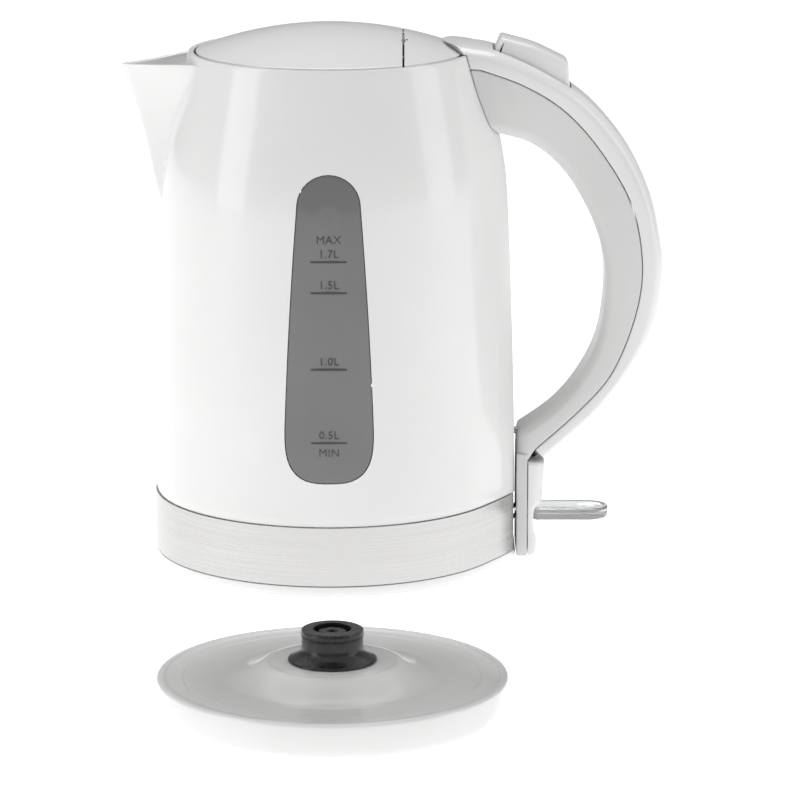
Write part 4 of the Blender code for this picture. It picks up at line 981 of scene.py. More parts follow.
class KETTLE_OT_windows(bpy.types.Operator):
    """Smoked water windows, which follow the jug's wall, with the level marks printed on them"""

    bl_idname = "kettle.windows"
    bl_label = "Water windows"

    def execute(self, context):
        insets = (GAP, GAP + 0.25, 1.2, 3.0, 5.5, 8.5, 11.0)
        for name, side in (("water_window_front", -1), ("water_window_rear", 1)):
            count = 120
            bm = bmesh.new()
            loops = []
            for level, inset in enumerate(insets):
                ring = bmesh.ops.create_circle(
                    bm, cap_ends=level == len(insets) - 1, radius=1.0, segments=count
                )["verts"]
                sunk = 0.35 if level == 0 else WINDOW_INSET
                for vertex, (x, z) in zip(ring, window_outline(inset, count)):
                    reach = math.sqrt((plain_radius(z) - sunk) ** 2 - x * x)
                    vertex.co = (x, side * reach, z)
                loops.append(
                    [edge for edge in bm.edges if edge.verts[0] in ring and edge.verts[1] in ring]
                )
            for outer, inner in zip(loops, loops[1:]):
                bmesh.ops.bridge_loops(bm, edges=outer + inner)
            bmesh.ops.recalc_face_normals(bm, faces=bm.faces)
            if sum(face.normal.y * side for face in bm.faces) < 0:
                bmesh.ops.reverse_faces(bm, faces=bm.faces)
            bmesh.ops.solidify(bm, geom=bm.faces[:], thickness=WINDOW_THICKNESS)
            piece(name + "_pane", bm, "smoked_window", "kettle", replaced=(name,), sharp=40.0)
            self.print_marks(name, side)
        return {"FINISHED"}

    def print_marks(self, name, side):
        """Level lines and figures as one thin print on the pane."""
        bm = bmesh.new()
        words = [(text, height, 4.6) for text, height in LEVEL_MARKS]
        words += [("MAX", 144.9, 4.6), ("MIN", 57.9, 4.6)]
        for text, height, size in words:
            curve = bpy.data.curves.new("mark", "FONT")
            curve.body = text
            curve.size = size
            curve.align_x = "CENTER"
            curve.extrude = 0.0
            curve.resolution_u = 3
            curve.space_character = 1.05
            holder = bpy.data.objects.new("mark", curve)
            bpy.context.scene.collection.objects.link(holder)
            bpy.context.view_layer.update()
            graph = bpy.context.evaluated_depsgraph_get()
            mesh = bpy.data.meshes.new_from_object(holder.evaluated_get(graph))
            shift = Matrix.Translation((0, height + 1.1, 0))
            mesh.transform(shift)
            bm.from_mesh(mesh)
            bpy.data.objects.remove(holder)
            bpy.data.meshes.remove(mesh)
        for _, height in LEVEL_MARKS:
            line = bmesh.ops.create_grid(bm, x_segments=12, y_segments=1, size=1.0)["verts"]
            bmesh.ops.scale(bm, vec=(LEVEL_LINE_HALF, 0.42, 1.0), verts=line)
            bmesh.ops.translate(bm, vec=(0, height - 0.6, 0), verts=line)
        for vertex in bm.verts:
            x, z = vertex.co.x, vertex.co.y
            reach = math.sqrt((plain_radius(z) - WINDOW_INSET + 0.03) ** 2 - x * x)
            vertex.co = (-side * x, side * reach, z)
        bmesh.ops.recalc_face_normals(bm, faces=bm.faces)
        for face in bm.faces:
            face.normal_update()
            if face.normal.y * side < 0:
                face.normal_flip()
        bmesh.ops.solidify(bm, geom=bm.faces[:], thickness=0.04)
        piece(name + "_marks", bm, "level_print", "kettle", sharp=40.0)


class KETTLE_OT_band(bpy.types.Operator):
    """Brushed steel band and the white skirt below it"""

    bl_idname = "kettle.band"
    bl_label = "Band and skirt"

    def execute(self, context):
        columns = context.scene.kettle_shape.jug_columns
        low, high, back = SKIRT_TOP + GAP, BAND_TOP, BAND_PROUD - 0.8
        band_rows = (
            (low, back),
            (low, BAND_PROUD - 0.15),
            (low + 0.15, BAND_PROUD),
            ((low + high) / 2, BAND_PROUD),
            (high - 0.15, BAND_PROUD),
            (high, BAND_PROUD - 0.15),
            (high, back),
        )
        half_gap = math.asin((HOUSING_HALF + GAP) / (BODY_RADIUS + 4.0))
        arc = 2 * math.pi - 2 * half_gap

        def band_place(row, share):
            height, offset = band_rows[row]
            angle = half_gap + arc * share
            radius = jug_radius(height, angle) + offset
            return (radius * math.cos(angle), radius * math.sin(angle), height)

        band = woven(len(band_rows), columns, band_place, angle=math.pi, closed_rows=True)
        bmesh.ops.holes_fill(band, edges=[edge for edge in band.edges if edge.is_boundary], sides=0)
        piece("steel_band", band, "brushed_steel", "kettle", replaced=("trim_band",), sharp=40.0)

        skirt_rows = (
            (SKIRT_TOP, -4.5),
            (SKIRT_TOP, 0.2),
            (SKIRT_TOP - 0.2, 0.4),
            (3.4, 0.35),
            (2.4, 0.2),
            (1.4, -0.1),
            (0.7, -0.55),
            (0.25, -1.1),
            (0.0, -1.8),
            (0.0, -4.1),
            (0.4, -4.5),
        )

        def skirt_place(row, share):
            height, offset = skirt_rows[row]
            angle = 2 * math.pi * share
            radius = jug_radius(height, angle) + offset
            return (radius * math.cos(angle), radius * math.sin(angle), height)

        skirt = woven(len(skirt_rows), columns, skirt_place, closed_rows=True)
        piece("white_skirt", skirt, "gloss_white", "kettle", replaced=("bottom_skirt",), sharp=40.0)
        return {"FINISHED"}


def lid_section():
    """Section of the lid's shell, from its crown over its rounded edge and back up inside."""
    steps = 20
    edge = LID_RADIUS - 1.2
    outer = [(edge * step / steps, lid_height(edge * step / steps)) for step in range(steps + 1)]
    drop = lid_height(edge)
    edge = LID_RADIUS
    rounded = [(edge - 0.7, drop - 0.12), (edge - 0.25, drop - 0.42), (edge - 0.02, drop - 0.95)]
    low = RIM - 4.5
    skirt = [(LID_RADIUS - 0.3, RIM - 2.0), (LID_RADIUS - 0.9, low), (LID_RADIUS - LID_WALL - 0.9, low)]
    inside = LID_RADIUS - LID_WALL
    inner = [(inside * step / 8, lid_height(inside * step / 8) - LID_WALL) for step in reversed(range(9))]
    return [*outer, *rounded, *skirt, *inner]


class KETTLE_OT_lid(bpy.types.Operator):
    """Hinged lid and the fixed cap behind its seam"""

    bl_idname = "kettle.lid"
    bl_label = "Lid"

    def execute(self, context):
        columns = context.scene.kettle_shape.turned_steps
        edge = context.scene.kettle_shape.edge_radius / MM
        for name, keep_low, x, body, replaced in (
            ("lid_shell", True, SEAM_X - SEAM_GAP / 2, "lid", "lid_top"),
            ("cap_shell", False, SEAM_X + SEAM_GAP / 2, "kettle", "rear_cap"),
        ):
            bm = sliced(spun(lid_section(), columns, closed=False), x, keep_low)
            bmesh.ops.remove_doubles(bm, verts=bm.verts, dist=0.0005)
            bm.normal_update()
            cut = [e for e in bm.edges if all(abs(v.co.x - x) < 0.001 for v in e.verts)]
            cut = [e for e in cut if (e.verts[0].co.z + e.verts[1].co.z) / 2 > lid_height(x) - 14.0]
            top = [e for e in cut if all(v.co.z > lid_height(v.co.x, v.co.y) - 1.2 for v in e.verts)]
            bmesh.ops.bevel(
                bm,
                geom=top,
                offset=edge * 0.5,
                offset_type="OFFSET",
                affect="EDGES",
                segments=2,
                profile=0.5,
                material=-1,
                clamp_overlap=True,
            )
            shell = piece(name, bm, "gloss_white", body, replaced=(replaced,), sharp=30.0)
            if body == "lid":
                self.join_hinge(shell)
            else:
                self.open_cap(shell)
        return {"FINISHED"}

    def join_hinge(self, shell):
        """Barrels and the latch tail under the lid."""
        tail_outline = (
            (SEAM_X - 5.5, HINGE_HEIGHT - 0.6),
            (SEAM_X - 5.5, RIM - 6.0),
            (SEAM_X + 3.0, RIM - 6.0),
            (SEAM_X + 3.0, RIM - 3.0),
            (SEAM_X - 2.2, RIM - 3.0),
            (SEAM_X - 2.2, HINGE_HEIGHT - 0.6),
        )
        additions = [slab(tail_outline, -4.0, 4.0), knuckle(-16.0, -6.0), knuckle(6.0, 16.0)]
        carve(shell, additions, operation="UNION", sharp=30.0)
        middle = hinge_bar(1.9, 0.5, -5.95, 5.95)
        bore = bar(0.9, (SEAM_X, -20, HINGE_HEIGHT), (SEAM_X, 20, HINGE_HEIGHT))
        carve(shell, (middle, bore), sharp=30.0)

    def open_cap(self, shell):
        """Seats for the hinge and a way through for the latch."""
        seats = [hinge_bar(1.9, 0.5, -16.4, -5.7), hinge_bar(1.9, 0.5, 5.7, 16.4)]
        carve(shell, [*seats, latch_passage()], sharp=30.0)
        carve(shell, [knuckle(-5.6, -2.8), knuckle(2.8, 5.6)], operation="UNION", sharp=30.0)
        spring_seat = hinge_bar(1.9, 0.5, -2.8, 2.8)
        bore = bar(0.9, (SEAM_X, -20, HINGE_HEIGHT), (SEAM_X, 20, HINGE_HEIGHT))
        carve(shell, (spring_seat, bore), sharp=30.0)


def hinge_bar(radius, rise, low_y, high_y):
    """A bar along the hinge line, cut flat at a rise above it so that it stays below the surface."""
    start = math.degrees(math.asin(rise / radius))
    turns = [math.radians(180.0 - start + (180.0 + 2 * start) * step / 24) for step in range(25)]
    outline = [(SEAM_X + radius * math.cos(t), HINGE_HEIGHT + radius * math.sin(t)) for t in turns]
    return slab(outline, low_y, high_y)


def knuckle(low_y, high_y):
    """One part of the hinge's barrel."""
    return hinge_bar(1.6, -0.1, low_y, high_y)


def along_button(x):
    """Height of the handle's back, straight under the button."""
    return RIM + 1.7 - 16.5 * (x - 67.8) / 33.5


def latch_passage():
    """Room for the latch bar to move in, as a mesh to cut with."""
    floor = BUTTON_DEPTH + 3.7
    bend, lift, end, hook = LID_RADIUS + 1.5, BUTTON_FRONT + 4.4, BUTTON_FRONT + 9.5, SEAM_X + 0.8
    bar_top = RIM + 1.4
    low = bar_top - 4.4
    outline = (
        (hook + 5.0, bar_top + 0.6),
        (bend + 0.4, bar_top + 0.6),
        (lift + 0.6, along_button(lift + 0.6) - floor + 2.6),
        (end + 0.9, along_button(end + 0.9) - floor + 2.6),
        (end + 0.9, along_button(end + 0.9) - floor - 2.5),
        (lift - 0.9, along_button(lift - 0.9) - floor - 2.5),
        (bend - 1.0, low),
        (hook + 5.0, low),
    )
    return slab(outline, -4.6, 4.6)


def lid_room():
    """Everything that the lid, the rim and the jug fill below the handle, as a mesh to cut with."""
    clear = 0.35
    heights = [RIM - 40.0 + 2.0 * step for step in range(20)] + [RIM - 0.7]
    radii = (LID_RADIUS - 1.5, 50.0, 45.0, 40.0, 34.0, 26.0, 14.0, 0.0)
    rows = [(0.0, RIM - 40.0, False)]
    rows += [(0.0, height, True) for height in heights]
    rows += [(plain_radius(RIM) - 0.1, RIM + clear, False), (LID_RADIUS + 0.2, RIM + clear, False)]
    rows += [(radius, lid_height(radius) + clear, False) for radius in radii]

    def place(row, share):
        radius, height, on_wall = rows[row]
        angle = 2 * math.pi * share
        if on_wall:
            radius = jug_radius(height, angle) + clear
        return (radius * math.cos(angle), radius * math.sin(angle), height)

    return woven(len(rows), 144, place)


def handle_half_width(x, height):
    near_jug = 1.0 - smoothstep(BODY_RADIUS - 13.5, BODY_RADIUS + 38.5, x)
    near_lid = smoothstep(120.0, 190.0, height)
    return HANDLE_HALF_WIDTH + HANDLE_ROOT_EXTRA * near_jug * near_lid


def section_ring(half, thickness, outer_radius, inner_radius, crown, flat_steps=6, corner_steps=7):
    """Ring of (across, up) round a bar's section: its outer side is crowned and has the larger corners."""
    ring = []

    def corner(centre_a, centre_b, radius, start):
        for step in range(corner_steps + 1):
            turn = math.radians(start + 90.0 * step / corner_steps)
            ring.append((centre_a + radius * math.cos(turn), centre_b + radius * math.sin(turn)))

    low = min(inner_radius, thickness * 0.45)
    high = min(outer_radius, thickness * 0.52)
    corner(half - low, low, low, -90.0)
    corner(half - high, thickness - high, high, 0.0)
    for step in range(1, flat_steps):
        ring.append(((half - high) * (1 - 2 * step / flat_steps), thickness))
    corner(-half + high, thickness - high, high, 90.0)
    corner(-half + low, low, low, 180.0)
    for step in range(1, flat_steps):
        ring.append(((half - low) * (2 * step / flat_steps - 1), 0.0))
    return [(a, b - crown * (a / half) ** 2 * smoothstep(0.4, 1.0, b / thickness)) for a, b in ring]


def swept_bar(back, front, radii, crown, shift=None):
    """A bar between two paths in the XZ plane: back is its outer side, front the side with small corners."""
    count = len(back)
    sections = []
    for (back_x, back_z), (front_x, front_z) in zip(back, front):
        half = handle_half_width((back_x + front_x) / 2, (back_z + front_z) / 2)
        up = Vector((back_x - front_x, 0.0, back_z - front_z))
        ring = section_ring(half, up.length, radii[0], radii[1], crown)
        up.normalize()
        sections.append([Vector((front_x, 0.0, front_z)) + up * b + Vector((0, a, 0)) for a, b in ring])
    columns = len(sections[0])

    def place(row, share):
        point = sections[row][round(share * columns) % columns]
        return shift(row / (count - 1), point) if shift else point

    bm = woven(count, columns, place)
    bmesh.ops.holes_fill(bm, edges=[edge for edge in bm.edges if edge.is_boundary], sides=0)
    return bm


def on_handle(points):
    return [(BODY_RADIUS + reach, height) for reach, height in points]


def offset_path(path, distance):
    moved = []
    for index, point in enumerate(path):
        before, after = path[max(index - 1, 0)], path[min(index + 1, len(path) - 1)]
        way = Vector((after[0] - before[0], after[1] - before[1])).normalized()
        moved.append((point[0] - way.y * distance, point[1] + way.x * distance))
    return moved


class KETTLE_OT_handle(bpy.types.Operator):
    """Handle: glossy cover over its back and satin grip inside its bow, down to the switch"""

    bl_idname = "kettle.handle"
    bl_label = "Handle"

    def execute(self, context):
        stations = context.scene.kettle_shape.handle_stations
        seam = smooth_path(on_handle(HANDLE_SEAM), 8)
        outer = smooth_path(on_handle(HANDLE_OUTER), 8)
        inner = smooth_path(on_handle(HANDLE_INNER), 8)
        self.make_cover(stations, outer, seam)
        self.make_grip(stations, seam, inner)
        return {"FINISHED"}

    def make_cover(self, stations, outer, seam):
        head = [(outer[0][0], seam[0][1] + 0.4), (52.0, seam[0][1] + 0.3)]
        under = head + offset_path(seam, GAP / 2)
        lead = round(stations * 0.3)
        back_head, back_tail = even_path(outer[:25], lead), even_path(outer[24:], stations - lead + 1)
        front_head, front_tail = even_path(under[:13], lead), even_path(under[12:], stations - lead + 1)
        back, front = back_head + back_tail[1:], front_head + front_tail[1:]

        def shift(share, point):
            x, y, z = point
            return Vector((x + 9.0 * (y / 18.0) ** 2 * max(1.0 - share / 0.1, 0.0), y, z))

        cover = swept_bar(back, front, (6.5, 0.7), 1.2, shift)
        obj = piece(
            "handle_cover_shell", cover, "gloss_white", "kettle", replaced=("handle_cover",), sharp=40.0
        )
        floor = BUTTON_DEPTH + 3.7
        pocket = slab(
            (
                (BUTTON_FRONT - 0.4, along_button(BUTTON_FRONT) - floor),
                (BUTTON_FRONT - 0.4, RIM + 16),
                (BUTTON_BACK + 0.3, RIM + 16),
                (BUTTON_BACK + 0.3, along_button(BUTTON_BACK) - floor),
            ),
            -BUTTON_HALF - 0.35,
            BUTTON_HALF + 0.35,
        )
        softened(pocket, 1.2, 3)
        carve(obj, (lid_room(), pocket, latch_passage(), self.steam_channel(seam)), sharp=40.0)

    def steam_channel(self, seam):
        """Room for the steam tube, as a mesh to cut with."""
        run = offset_path(seam, -2.6)[24:-10:4]
        middle = [(66.0, 199.5), *run, (FOOT_FRONT + 6.2, 45.5), (FOOT_FRONT + 5.2, 30.0)]
        outline = offset_path(middle, 3.4) + list(reversed(offset_path(middle, -3.4)))
        return slab(outline, -8.0, 8.0)

    def make_grip(self, stations, seam, inner):
        upper = [(46.0, seam[0][1] + 0.1), (52.0, seam[0][1]), *offset_path(seam, -GAP / 2)]
        root = [(46.0, 204.0), (50.0, 194.0), (56.0, 186.5), (63.5, 182.2)]
        lead = round(stations * 0.12)
        head_back = even_path(upper[:8], lead)
        tail_back = even_path([*upper[7:], (82.4, 43.6)], stations - lead + 1)
        lower = [root[-1], *inner, (FOOT_FRONT, 52.0), (FOOT_FRONT, 43.0)]
        head_front, tail_front = even_path(root, lead), even_path(lower, stations - lead + 1)
        grip = swept_bar(head_front + tail_front[1:], head_back + tail_back[1:], (5.0, 0.7), 0.0)
        # The grip takes the satin_white finish, whose darker colour is painted shade.
        obj = piece("handle_grip_shell", grip, "satin_white", "kettle", replaced=("handle_grip",), sharp=40.0)
        foot = block((FOOT_FRONT, -HOUSING_HALF, HOUSING_BOTTOM), (FOOT_BACK, HOUSING_HALF, 46.0))
        softened(foot, 0.7, 3)
        carve(obj, (foot,), operation="UNION", sharp=40.0)
        hollow = block(
            (FOOT_FRONT - 5, FOOT_WALL - HOUSING_HALF, HOUSING_BOTTOM + FOOT_WALL),
            (HOUSING_BACK, HOUSING_HALF - FOOT_WALL, HOUSING_TOP - FOOT_WALL),
        )
        passage = bar(3.2, (58.0, 0, 200.0), (69.5, 0, 199.4))
        pins = [
            bar(
                radius,
                (LEVER_PIVOT_X, 0.6 - HOUSING_HALF, height),
                (LEVER_PIVOT_X, HOUSING_HALF - 0.6, height),
            )
            for radius, height in ((LEVER_PIN + 0.2, LEVER_HEIGHT), (1.0, 35.0))
        ]
        carve(obj, (lid_room(), hollow, self.steam_channel(seam), passage, *pins), sharp=40.0)


class KETTLE_OT_lid_button(bpy.types.Operator):
    """Lid button with its crowned top and raised mark, and the spring under it"""

    bl_idname = "kettle.lid_button"
    bl_label = "Lid button"

    def execute(self, context):
        front, back = BUTTON_FRONT, BUTTON_BACK
        outline = rounded_outline(
            (
                (front + 0.6, along_button(front) - BUTTON_DEPTH, 0.6),
                (front + 0.7, RIM + 2.2, 2.0),
                (front + 3.0, RIM + 6.9, 1.6),
                (front + 17.0, RIM + 3.1, 40.0),
                (back - 1.0, RIM - 3.6, 3.4),
                (back - 0.25, along_button(back) - BUTTON_DEPTH, 0.6),
            )
        )
        bm = cushion(outline, -BUTTON_HALF, BUTTON_HALF, 1.9)
        for vertex in bm.verts:
            share = (vertex.co.y / BUTTON_HALF) ** 2
            rise = smoothstep(-2.0, 0.5, vertex.co.z - along_button(vertex.co.x))
            vertex.co.z -= 0.7 * share * rise
        button = piece(
            "lid_button_cap", bm, "gloss_white", "lid_button", replaced=("lid_release_button",), sharp=36.0
        )
        down = Vector((-math.sin(BUTTON_TILT), 0, -math.cos(BUTTON_TILT)))
        spring_x = (front + back) / 2 + 3.8
        seat = Vector((spring_x, 0, along_button(spring_x) - BUTTON_DEPTH - 3.3))
        carve(button, (bar(4.8, seat + down * 2, seat - down * 9.5),), sharp=36.0)
        self.make_mark(down)
        self.make_spring(seat, down)
        return {"FINISHED"}

    def make_mark(self, down):
        """Raised oval on the button's top."""
        centre = Vector((90.0, 0.0, RIM - 0.75))
        bm = spun(((3.4, 0.0), (3.5, 0.22), (3.9, 0.34), (4.3, 0.22), (4.4, 0.0), (3.9, -0.6)), 48)
        bmesh.ops.scale(bm, vec=(1.0, 1.25, 1.0), verts=bm.verts)
        turn = Vector((0, 0, 1)).rotation_difference(-down).to_matrix().to_4x4()
        bmesh.ops.transform(bm, matrix=Matrix.Translation(centre) @ turn, verts=bm.verts)
        piece("button_mark", bm, "gloss_white", "lid_button", sharp=40.0)

    def make_spring(self, seat, down):
        """Round-wire spring under the button."""
        turns, per_turn, around, coil_radius, wire = 4, 24, 10, 3.6, 0.45
        side = Vector((0, 1, 0))
        other = down.cross(side)
        steps = turns * per_turn

        def place(row, share):
            turn = 2 * math.pi * row / per_turn
            rise = 0.9 + 7.4 * row / steps
            outward = side * math.cos(turn) + other * math.sin(turn)
            around_wire = 2 * math.pi * share
            reach = coil_radius + wire * math.cos(around_wire)
            return seat + outward * reach - down * (rise + wire * math.sin(around_wire))

        bm = woven(steps + 1, around, place)
        bmesh.ops.holes_fill(bm, edges=[edge for edge in bm.edges if edge.is_boundary], sides=0)
        spring = piece(
            "lid_button_spring",
            bm,
            "brushed_steel",
            "lid_button",
            replaced=("button_spring",),
            sharp=60.0,
        )
        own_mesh(spring)


class KETTLE_OT_switch(bpy.types.Operator):
    """Switch housing behind the handle's foot, and the clear lever that comes out of it"""

    bl_idname = "kettle.switch"
    bl_label = "Switch"

    def execute(self, context):
        self.make_housing()
        self.make_lever()
        return {"FINISHED"}

    def housing_back(self, height, inset=0.0):
        """X of the housing's back at a height, which steps in round the lever."""
        back = HOUSING_BACK
        points = (
            (HOUSING_BOTTOM, back - 4.4),
            (HOUSING_BOTTOM + 2.0, back - 3.5),
            (LEVER_HEIGHT - 9.0, back - 3.4),
            (LEVER_HEIGHT - 6.0, back - 4.4),
            (LEVER_HEIGHT + 3.6, back - 4.4),
            (LEVER_HEIGHT + 6.4, back - 1.6),
            (LEVER_HEIGHT + 12.0, back - 0.6),
            (HOUSING_TOP - 3.0, back),
            (HOUSING_TOP, back - 0.1),
        )
        return along(points, height) - inset

    def housing_ring(self, height, inset, count):
        """Ring of the housing at a height: sides, round back corners and back."""
        half = HOUSING_HALF - inset
        back = self.housing_back(height, inset)
        front = HOUSING_FRONT
        corner = min(6.2, back - front - 0.2)
        ring = [(front, -half), ((front + back - corner) / 2, -half)]
        for step in range(9):
            turn = math.radians(90.0 * step / 8)
            ring.append((back - corner + corner * math.sin(turn), -half + corner - corner * math.cos(turn)))
        ring += [(x, -y) for x, y in reversed(ring)]
        return even_path(ring, count)

    def make_housing(self):
        low, high = HOUSING_BOTTOM, HOUSING_TOP
        heights = [low, low + 0.1, low + 0.4, low + 0.9]
        steps = 34
        heights += [low + 1.6 + (high - low - 3.2) * step / steps for step in range(steps + 1)]
        heights += [high - 0.9, high - 0.4, high - 0.1, high]
        edge = {0: 1.4, 1: 0.75, 2: 0.3, 3: 0.05}
        count = 49
        rings = []
        for index, height in enumerate(heights):
            inset = edge.get(index, edge.get(len(heights) - 1 - index, 0.0))
            rings.append(self.housing_ring(height, inset, count))

        def place(row, share):
            x, y = rings[row][round(share * (count - 1))]
            return (x, y, heights[row])

        bm = woven(len(heights), count - 1, place, angle=math.pi)
        front = HOUSING_FRONT
        bm.edges.ensure_lookup_table()
        for height in (low, high):
            open_edges = [edge for edge in bm.edges if edge.is_boundary]
            rim = [e for e in open_edges if all(abs(v.co.z - height) < 0.001 for v in e.verts)]
            ends = [v for e in rim for v in e.verts if abs(v.co.x - front) < 0.001]
            closing = bm.edges.new((ends[0], ends[-1])) if len(set(ends)) == 2 else None
            bmesh.ops.holes_fill(bm, edges=[*rim, closing] if closing else rim, sides=0)
        bmesh.ops.recalc_face_normals(bm, faces=bm.faces)
        if max(bm.faces, key=lambda face: face.calc_center_median().x).normal.x < 0:
            bmesh.ops.reverse_faces(bm, faces=bm.faces)
        bmesh.ops.solidify(bm, geom=bm.faces[:], thickness=1.6)
        housing = piece(
            "switch_housing_shell", bm, "gloss_white", "kettle", replaced=("switch_housing",), sharp=34.0
        )
        slot = block(
            (LEVER_PIVOT_X, -LEVER_HALF - 0.5, LEVER_HEIGHT - LEVER_THICKNESS / 2 - 2.0),
            (HOUSING_BACK + 5, LEVER_HALF + 0.5, LEVER_HEIGHT + LEVER_THICKNESS / 2 + 0.8),
        )
        softened(slot, 0.8, 3)
        steam = bar(3.2, (83.2, 0, HOUSING_TOP - 6), (83.6, 0, HOUSING_TOP + 8))
        carve(housing, (slot, steam), sharp=34.0)

    def make_lever(self):
        pivot, wide, root = LEVER_PIVOT_X, LEVER_HALF, LEVER_ROOT_HALF
        start, shoulder = pivot - 2.6, HOUSING_FRONT + 1.0
        centre = LEVER_TIP - wide
        right = [
            (start, -root, 1.2),
            (shoulder, -root, 1.3),
            (shoulder + 2.4, -wide, 1.6),
            (LEVER_TIP, -wide, wide - 0.02),
        ]
        left = [(x, -y, radius) for x, y, radius in reversed(right)]
        outline = rounded_outline([*right, *left], steps=16)
        low, high = LEVER_HEIGHT - LEVER_THICKNESS / 2, LEVER_HEIGHT + LEVER_THICKNESS / 2
        bm = cushion(even_path([*outline, outline[0]], 181)[:-1], low, high, 0.9, plane="XY")
        lever = piece(
            "clear_lever", bm, "clear_plastic", "switch_lever", replaced=("switch_lever",), sharp=34.0
        )
        bore = bar(LEVER_PIN + 0.2, (pivot, -wide - 2, LEVER_HEIGHT), (pivot, wide + 2, LEVER_HEIGHT))
        dish = bar(5.0, (0, 0, high - 0.7), (0, 0, high + 1.0))
        bmesh.ops.scale(dish, vec=(1.16, 0.72, 1.0), verts=dish.verts)
        bmesh.ops.translate(dish, vec=(centre + 1.6, 0, 0), verts=dish.verts)
        carve(lever, (bore, dish), sharp=34.0)
        self.make_marks(centre + 1.6, high - 0.7)

    def make_marks(self, x, height):
        """The usual 0 and I in the dish of the lever."""
        bm = bmesh.new()
        for text, shift in (("I", -2.6), ("0", 2.6)):
            curve = bpy.data.curves.new("mark", "FONT")
            curve.body = text
            curve.size = 4.2
            curve.align_x = "CENTER"
            curve.align_y = "CENTER"
            curve.resolution_u = 3
            holder = bpy.data.objects.new("mark", curve)
            bpy.context.scene.collection.objects.link(holder)
            bpy.context.view_layer.update()
            graph = bpy.context.evaluated_depsgraph_get()
            mesh = bpy.data.meshes.new_from_object(holder.evaluated_get(graph))
            mesh.transform(Matrix.Translation((x + shift, 0, height + 0.03)))
            bm.from_mesh(mesh)
            bpy.data.objects.remove(holder)
            bpy.data.meshes.remove(mesh)
        bmesh.ops.solidify(bm, geom=bm.faces[:], thickness=0.12)
        piece("lever_marks", bm, "level_print", "switch_lever", sharp=40.0)


class KETTLE_OT_power_base(bpy.types.Operator):
    """Round power base with its groove and raised middle"""

    bl_idname = "kettle.power_base"
    bl_label = "Power base"

    def execute(self, context):
        steps = context.scene.kettle_shape.turned_steps
        radius, dome = BASE_RADIUS, BASE_DOME_TOP
        rim = dome - 6.0
        wall, low, hole = 2.2, 1.8, 16.5
        floor = rim - 0.7
        slope = smooth_path(
            (
                (27.75, dome - 0.15),
                (29.8, dome - 0.75),
                (33.5, dome - 2.9),
                (37.2, dome - 4.7),
                (41.5, dome - 6.0),
                (46.5, floor),
            ),
            5,
        )
        outer = [
            (hole, dome),
            (18.0, dome),
            (26.2, dome),
            (26.5, dome - 0.12),
            (26.9, dome - 0.12),
            (27.2, dome - 0.02),
            *slope,
            (47.2, floor + 0.06),
            (52.0, floor + 0.05),
            (58.0, floor + 0.03),
            (62.9, floor),
            (63.2, floor - 0.22),
            (63.7, floor - 0.22),
            (64.0, floor),
            (68.0, floor - 0.02),
            (radius - 3.9, floor - 0.05),
            (radius - 3.6, floor + 0.1),
            (radius - 3.2, rim - 0.1),
            (radius - 2.8, rim),
            (radius - 1.6, rim),
            (radius - 0.9, rim - 0.15),
            (radius - 0.35, rim - 0.55),
            (radius - 0.08, rim - 1.1),
            (radius, rim - 1.7),
            (radius - 0.35, rim - 6.0),
            (radius - 1.0, rim - 11.0),
            (radius - 1.5, low + 2.6),
            (radius - 1.9, low + 1.4),
            (radius - 2.5, low + 0.5),
            (radius - 3.4, low),
        ]
        inner = [
            (radius - 3.2 - wall, low),
            (radius - 1.6 - wall, low + 2.5),
            (radius - 0.6 - wall, rim - wall - 1.5),
            (46.5, floor - wall),
            (37.1, (dome + floor) / 2 - 0.9 - wall),
            (27.75, dome - 0.6 - wall),
            (hole, dome - wall),
        ]
        gland = bar(4.3, (0, radius - 12, 9.0), (0, radius + 5, 9.0))
        cover = piece(
            "base_shell",
            spun([*outer, *inner], steps),
            "gloss_white",
            "power_base",
            lift=0.0,
            replaced=("base_cover",),
            sharp=34.0,
        )
        carve(cover, (gland,), lift=0.0, sharp=34.0)
        return {"FINISHED"}


